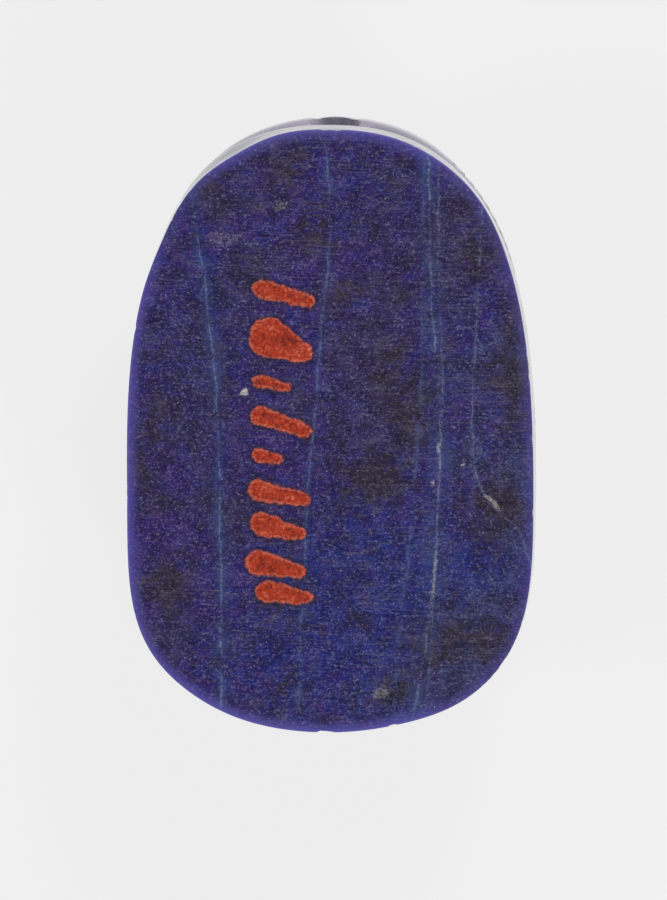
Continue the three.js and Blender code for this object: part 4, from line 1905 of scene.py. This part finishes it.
def _paint_masks(sheet: NodeSheet, paint: Paint, place: Value) -> tuple[Value, Value, Value]:
    """Masks of the paint, of the painted highlight along its thick lip and of the dark stain round it, on
    the base's face.

    Args:
        sheet: The sheet to write on.
        paint: The paint's colours and dabs.
        place: The place in millimetres.

    Returns:
        The three masks.
    """
    base = sheet.mask("base")
    moved = sheet.vector("ADD", place, sheet.sway(RAGGED, place, 2.2, 6.0, 0.78, 23.0))
    flat = sheet.vector("MULTIPLY", moved, (1.0, 1.0, 0.0))
    distance: Value = 9.0
    for dab in paint.dabs:
        distance = sheet.math("MINIMUM", distance, _dab_distance(sheet, dab, flat))
    mask = sheet.times(sheet.spread(distance, -0.04, 0.045, (1.0, 0.0)), base)
    # Painted highlight along the paint's thick edge.
    lip = sheet.times(sheet.spread(distance, -0.1, -0.03), base)
    stain = sheet.times(sheet.spread(distance, 0.02, 0.18, (0.6, 0.0)), base)
    return mask, lip, stain


@dataclass
class StoneMaterials:
    """The stone's finishes, which share their colour, scratches, and dirt with painted shade."""

    stone: Lapis = field(default_factory=Lapis)
    paint: Paint = field(default_factory=Paint)

    def __post_init__(self) -> None:
        """Builds the shared groups."""
        self.colour = lapis_group(self.stone)
        self.scratches = scratch_group()
        self.grime = grime_and_shade_group()

    def make(self, finish: StoneFinish) -> bpy.types.Material:
        """Builds one finish of the stone.

        Args:
            finish: The surface's wear and gloss.

        Returns:
            The material.
        """
        material = bpy.data.materials.new(finish.name)
        material.use_nodes = True
        sheet = NodeSheet(material.node_tree)
        shader = material.node_tree.nodes["Principled BSDF"]
        place = _millimetres(sheet)
        body = sheet.group(self.colour, Place=place, Grain=finish.grain)
        rubbed = sheet.group(self.scratches, Place=place, Amount=finish.scratches)
        colour = sheet.mix(sheet.times(rubbed["Pale"], 0.28), body["Color"], self.stone.pale)
        if finish.painted:
            # Painted highlight along the base's rounded edge.
            colour = self._painted_rim_highlight(sheet, place, colour)
        if finish == CARVED:
            # Painted sheen on the legs' outer faces.
            colour = self._painted_leg_sheen(sheet, place, colour)
        # Darkens grooves and the sunk recess with dirt and painted shade.
        dirty_and_shaded = sheet.group(self.grime, Place=place, Color=colour, Amount=finish.grime)
        colour = dirty_and_shaded["Color"]
        rough = sheet.noise(place, 1.5, 4.0, 0.6, 31.0)
        rough = sheet.spread(rough, 0.3, 0.7, finish.roughness)
        rough = sheet.math("MULTIPLY_ADD", dirty_and_shaded["Mask"], 0.3, rough)
        height = sheet.math("MULTIPLY_ADD", body["Grain"], 0.45, rubbed["Height"])
        if finish.painted:
            colour, rough = self._painted(sheet, place, colour, rough)
        # Pale dust; in the drilled hole it is also painted light that lifts the shaded mouth.
        if finish.dust_and_light:
            dust_and_light_share = sheet.times(rough, 2.0 * finish.dust_and_light)
            if finish == DRILLED:
                dust_and_light_share = sheet.times(dust_and_light_share, self._off_axis(sheet, place))
            colour = sheet.mix(dust_and_light_share, colour, self.stone.pale_dust_and_light)
        bump = sheet.node("ShaderNodeBump", {"Strength": 0.6, "Distance": RELIEF * MM, "Height": height})
        shader.inputs["IOR"].default_value = 1.5
        shader.inputs["Specular IOR Level"].default_value = finish.gloss
        shader.inputs["Coat Roughness"].default_value = 0.12
        shader.inputs["Coat IOR"].default_value = 1.75
        sheet.feed(shader, {"Base Color": colour, "Roughness": rough, "Normal": bump.outputs[0]})
        self._coat(sheet, finish, shader)
        return material

    def _painted_rim_highlight(self, sheet: NodeSheet, place: Value, colour: Value) -> Value:
        """Paints a highlight along the base's rounded edge, where it catches light, less so on the +X side
        and at the -X shoulder.

        Args:
            sheet: The sheet to write on.
            place: The place in millimetres.
            colour: The colour so far.

        Returns:
            The colour with the painted rim highlight.
        """
        edge = sheet.mask("edge_mm")
        rim = sheet.spread(edge, 0.0, 0.45, (0.5, 0.0))
        rim = sheet.plus(rim, sheet.spread(edge, 0.0, 0.1, (0.3, 0.0)))
        part = sheet.split(place)
        rim = sheet.times(rim, sheet.spread(part["X"], 1.0, 6.0, (1.0, 0.5)))
        rim = sheet.times(rim, sheet.spread(part["Y"], -9.2, -6.5, (1.2, 1.0)))
        dull = _patches(sheet, self.stone.dim_rim_highlight, part["X"], part["Y"])
        rim = sheet.times(rim, sheet.minus(1.0, dull))
        return sheet.mix(rim, colour, self.stone.rim)

    def _painted_leg_sheen(self, sheet: NodeSheet, place: Value, colour: Value) -> Value:
        """Paints a pale sheen on the legs' outer faces, a painted reflection of the bright floor, most of
        all on the front feet.

        Args:
            sheet: The sheet to write on.
            place: The place in millimetres.
            colour: The colour so far.

        Returns:
            The colour with the painted leg sheen.
        """
        leg = sheet.mask("leg")
        along = sheet.split(place)["Y"]
        # Strength of the painted sheen, strongest towards the front feet.
        worn = sheet.spread(along, 6.2, 8.2, (0.07, 0.42))
        return sheet.mix(sheet.times(leg, worn), colour, self.stone.pale_dust_and_light)

    def _off_axis(self, sheet: NodeSheet, place: Value) -> Value:
        """How much more pale dust and painted light go on the hole's sides than on its middle line."""
        across = sheet.split(place)["X"]
        return sheet.spread(sheet.math("ABSOLUTE", across), 0.25, 0.72, (0.9, 2.4))

    def _painted(self, sheet: NodeSheet, place: Value, colour: Value, rough: Value) -> tuple[Value, Value]:
        """Lays the brush dabs over the stone's colour and roughness.

        Args:
            sheet: The sheet to write on.
            place: The place in millimetres.
            colour: The colour so far.
            rough: The roughness so far.

        Returns:
            The new colour and roughness.
        """
        mask, lip, stain = _paint_masks(sheet, self.paint, place)
        mottle = sheet.noise(place, 10.0, 3.0, 0.85, 37.0)
        broad = sheet.noise(place, 2.6, 3.0, 0.6, 41.0)
        speck = sheet.math("MULTIPLY_ADD", sheet.minus(broad, 0.5), 0.5, mottle)
        red = sheet.mix(sheet.spread(speck, 0.5, 0.36, (0.0, 0.8)), self.paint.colour, self.paint.dark)
        red = sheet.mix(sheet.spread(speck, 0.55, 0.68, (0.0, 0.65)), red, self.paint.light)
        # Painted highlight along the paint's thick lip.
        lip = sheet.times(lip, sheet.spread(mottle, 0.42, 0.56, (0.1, 0.55)))
        red = sheet.mix(lip, red, self.paint.light)
        worn = sheet.noise(place, 5.0, 4.0, 0.8, 43.0)
        mask = sheet.times(mask, sheet.spread(worn, 0.3, 0.42, (0.2, 1.0)))
        colour = sheet.mix(stain, colour, self.paint.halo)
        colour = sheet.mix(mask, colour, red)
        return colour, sheet.math("MULTIPLY_ADD", mask, 0.2, rough)

    def _coat(self, sheet: NodeSheet, finish: StoneFinish, shader: Node) -> None:
        """Gives the plate's side and the legs' faces their polish, and the recess less.

        Args:
            sheet: The sheet to write on.
            finish: The surface's wear and gloss.
            shader: The material's shader.
        """
        if finish == CARVED:
            weight = sheet.spread(sheet.mask("leg"), 0.3, 1.0, (0.45 * finish.coat, finish.coat))
            sheet.feed(shader, {"Coat Weight": weight})
        else:
            shader.inputs["Coat Weight"].default_value = finish.coat


# ---- The amulet ----------------------------------------------------------------------------


@dataclass(frozen=True)
class HandWork:
    """How unevenly the strokes run, how the hatching lies, and how rough and chipped the stone is."""

    unevenness: float = 0.16
    hatch_unevenness: float = 0.12
    hatch_spacing: float = 0.42
    hatch_length: float = 0.62
    hatch_slant: float = 0.22
    tool_marks: float = 0.045
    chips: float = 0.07
    sharp_angle: float = 58.0


@dataclass
class ScarabAmulet:
    """The whole stone, carved and finished."""

    form: ScarabForm = field(default_factory=ScarabForm)
    hole: ThreadHole = field(default_factory=ThreadHole)
    work: HandWork = field(default_factory=HandWork)
    seed: int = 5

    def build(self) -> Object:
        """Builds the amulet as one piece.

        Returns:
            The finished piece, at the origin.
        """
        skin = StoneSkin(self.form)
        piece = placed("scarab_stone", skin.mesh("scarab_stone"))
        LOG.info("skin of the stone: %d faces", len(piece.data.polygons))
        cutter = self.hole.cutter()
        drill = piece.modifiers.new("thread_hole", "BOOLEAN")
        drill.operation, drill.solver, drill.object = "DIFFERENCE", "MANIFOLD", cutter
        helpers = [cutter, *self._carve(piece, skin)]
        settle(piece)
        for helper in helpers:
            drop(helper)
        piece.data.polygons.foreach_set("use_smooth", [True] * len(piece.data.polygons))
        piece.data.set_sharp_from_angle(angle=math.radians(self.work.sharp_angle))
        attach(piece, "root")
        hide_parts("scarab")
        LOG.info("%s: %d faces", piece.name, len(piece.data.polygons))
        return piece

    def _carve(self, piece: Object, skin: StoneSkin) -> list[Object]:
        """Adds the lines, the hatching and the wear, and gives back the helper objects.

        Args:
            piece: The piece to carve.
            skin: The skin that it was made from.

        Returns:
            The helper objects, to be removed once the piece is plain.
        """
        materials = StoneMaterials()
        finishes = {kind: materials.make(kind) for kind in (RUBBED, POLISHED, CARVED, DRILLED)}
        paths = LineWork(self.form, skin)
        strokes = carved_line_tree()
        helpers = []
        for kind, lines in ((Work.MAIN, paths.main_lines()), (Work.FINE, paths.fine_lines())):
            wire = wires(f"{kind.name.lower()}_lines", lines)
            helpers.append(wire)
            values = self._stroke_values(kind, wire) | {"Material": finishes[CARVED]}
            add_tree(piece, strokes, values)
            LOG.info("%s lines: %d", kind.name.lower(), len(lines))
        legs = wires("leg_lines", paths.leg_lines())
        helpers.append(legs)
        values = self._stroke_values(Work.HATCH, legs) | {"Material": finishes[CARVED]}
        values |= {
            "Spacing": self.work.hatch_spacing,
            "Stroke length": self.work.hatch_length,
            "Slant": self.work.hatch_slant,
            "Unevenness": self.work.hatch_unevenness,
        }
        add_tree(piece, hatched_leg_tree(), values)
        worn = {
            "Plate": self.form.plate.rise,
            "Height": HEIGHT,
            "Hole radius": self.hole.radius + self.hole.flare,
            "Hole height": HEIGHT - self.hole.rise,
            "Tool marks": self.work.tool_marks,
            "Chips": self.work.chips,
            "Seed": self.seed,
            "Rubbed": finishes[RUBBED],
            "Polished": finishes[POLISHED],
            "Carved": finishes[CARVED],
            "Drilled": finishes[DRILLED],
        }
        add_tree(piece, worn_stone_tree(), worn)
        return helpers

    def _stroke_values(self, kind: Work, wire: Object) -> dict[str, object]:
        """Inputs of a stroke tree for one kind of work.

        Args:
            kind: The kind of work.
            wire: The object that holds its lines.

        Returns:
            The inputs by name.
        """
        return {
            "Lines": wire,
            "Half width": kind.half_width,
            "Depth": kind.depth,
            "Unevenness": self.work.unevenness,
            "Seed": self.seed + len(kind.name),
        }


# ---- Studio --------------------------------------------------------------------------------


@dataclass(frozen=True)
class StudioSizes:
    """Sizes of the floor, the lights and the camera, in metres and degrees."""

    floor: float = 6.0
    card: float = 1.3
    card_height: float = 0.75
    lamp_distance: float = 0.32
    lamp_elevation: float = 40.0
    lamp_size: float = 0.12
    lamp_power: float = 0.4
    lamps: tuple[tuple[float, float], ...] = ((20.0, 1.25), (140.0, 0.9), (260.0, 0.85))
    floor_grey: float = 0.12
    floor_glow: float = 0.765
    card_grey: float = 0.02
    surround: float = 0.4
    horizon: float = 0.855
    camera_distance: float = 0.47
    field_height: float = 0.02797
    lean_to_head: float = 7.8
    lean_to_side: float = 4.0
    aim: tuple[float, float, float] = (0.00012, -0.00054, 0.0082)


@dataclass
class Studio:
    """A pale floor in even light, with a dark card overhead, and the camera."""

    sizes: StudioSizes = field(default_factory=StudioSizes)

    def build(self) -> None:
        """Builds the floor, the card, the lights and the camera."""
        self._floor()
        self._card()
        self._lights()
        self._camera()
        view = bpy.context.scene.view_settings
        view.view_transform, view.look, view.exposure, view.gamma = "Standard", "None", 0.0, 1.0

    def _sheet(self, name: str, half: float, height: float, up: bool) -> Object:
        """A square sheet that faces up or down.

        Args:
            name: The object's name.
            half: Half of its side, in metres.
            height: Its height above the ground.
            up: Whether it faces up.

        Returns:
            The sheet's object.
        """
        corners = [(-half, -half), (half, -half), (half, half), (-half, half)]
        mesh = bpy.data.meshes.new(name)
        order = (0, 1, 2, 3) if up else (3, 2, 1, 0)
        mesh.from_pydata([(x, y, height) for x, y in corners], [], [order])
        sheet = placed(name, mesh)
        return sheet

    def _floor(self) -> None:
        """A floor of lit white sheet, which keeps shadows faint."""
        floor = self._sheet("floor", self.sizes.floor / 2, 0.0, True)
        material = bpy.data.materials.new("lit_sheet")
        material.use_nodes = True
        shader = material.node_tree.nodes["Principled BSDF"]
        shader.inputs["Base Color"].default_value = (*[self.sizes.floor_grey] * 3, 1.0)
        shader.inputs["Roughness"].default_value = 1.0
        shader.inputs["Specular IOR Level"].default_value = 0.0
        shader.inputs["Emission Color"].default_value = (1.0, 1.0, 1.0, 1.0)
        shader.inputs["Emission Strength"].default_value = self.sizes.floor_glow
        floor.data.materials.append(material)
        LOG.info("floor")

    def _card(self) -> None:
        """A dark card overhead, which the polished base reflects."""
        card = self._sheet("card", self.sizes.card / 2, self.sizes.card_height, False)
        material = bpy.data.materials.new("dark_card")
        material.use_nodes = True
        shader = material.node_tree.nodes["Principled BSDF"]
        shader.inputs["Base Color"].default_value = (*[self.sizes.card_grey] * 3, 1.0)
        shader.inputs["Roughness"].default_value = 1.0
        card.data.materials.append(material)
        LOG.info("card")

    def _lights(self) -> None:
        """Soft lamps on three sides and an even pale surround."""
        world = bpy.data.worlds.new("surround")
        world.use_nodes = True
        sky = NodeSheet(world.node_tree)
        way = sky.node("ShaderNodeTexCoord", {}).outputs["Generated"]
        up = sky.split(way)["Z"]
        strength = sky.spread(up, 0.05, 0.22, (self.sizes.horizon, self.sizes.surround))
        back = world.node_tree.nodes["Background"]
        back.inputs["Color"].default_value = (1.0, 1.0, 1.0, 1.0)
        sky.feed(back, {"Strength": strength})
        bpy.context.scene.world = world
        target = Vector(self.sizes.aim)
        for number, (azimuth, share) in enumerate(self.sizes.lamps):
            lamp = bpy.data.lights.new(f"lamp_{number}", "AREA")
            lamp.size, lamp.energy = self.sizes.lamp_size, self.sizes.lamp_power * share
            light = placed(f"lamp_{number}", lamp)
            turn, lift = math.radians(azimuth), math.radians(self.sizes.lamp_elevation)
            level = math.cos(lift)
            way = Vector((math.sin(turn) * level, math.cos(turn) * level, math.sin(lift)))
            light.location = target + way * self.sizes.lamp_distance
            light.rotation_euler = (-way).to_track_quat("-Z", "Y").to_euler()
        LOG.info("lights")

    def _camera(self) -> None:
        """The camera, nearly overhead and leaning to the head and to the +X side."""
        size = self.sizes
        lens = bpy.data.cameras.new("camera")
        lens.lens = lens.sensor_width * size.camera_distance / size.field_height
        lens.clip_start, lens.clip_end = 0.01, 20.0
        camera = placed("camera", lens)
        lean = (math.tan(math.radians(angle)) for angle in (size.lean_to_side, size.lean_to_head))
        back = Vector((*lean, 1.0)).normalized()
        right = Vector((0.0, 1.0, 0.0)).cross(back).normalized()
        up = back.cross(right)
        camera.matrix_world = Matrix((right, up, back)).transposed().to_4x4()
        camera.location = Vector(size.aim) + back * size.camera_distance
        bpy.context.scene.camera = camera
        LOG.info("camera")


def main() -> None:
    """Builds the amulet and its studio."""
    logging.basicConfig(level=logging.INFO, format="%(name)s: %(message)s")
    ScarabAmulet().build()
    Studio().build()


if __name__ == "__main__":
    main()
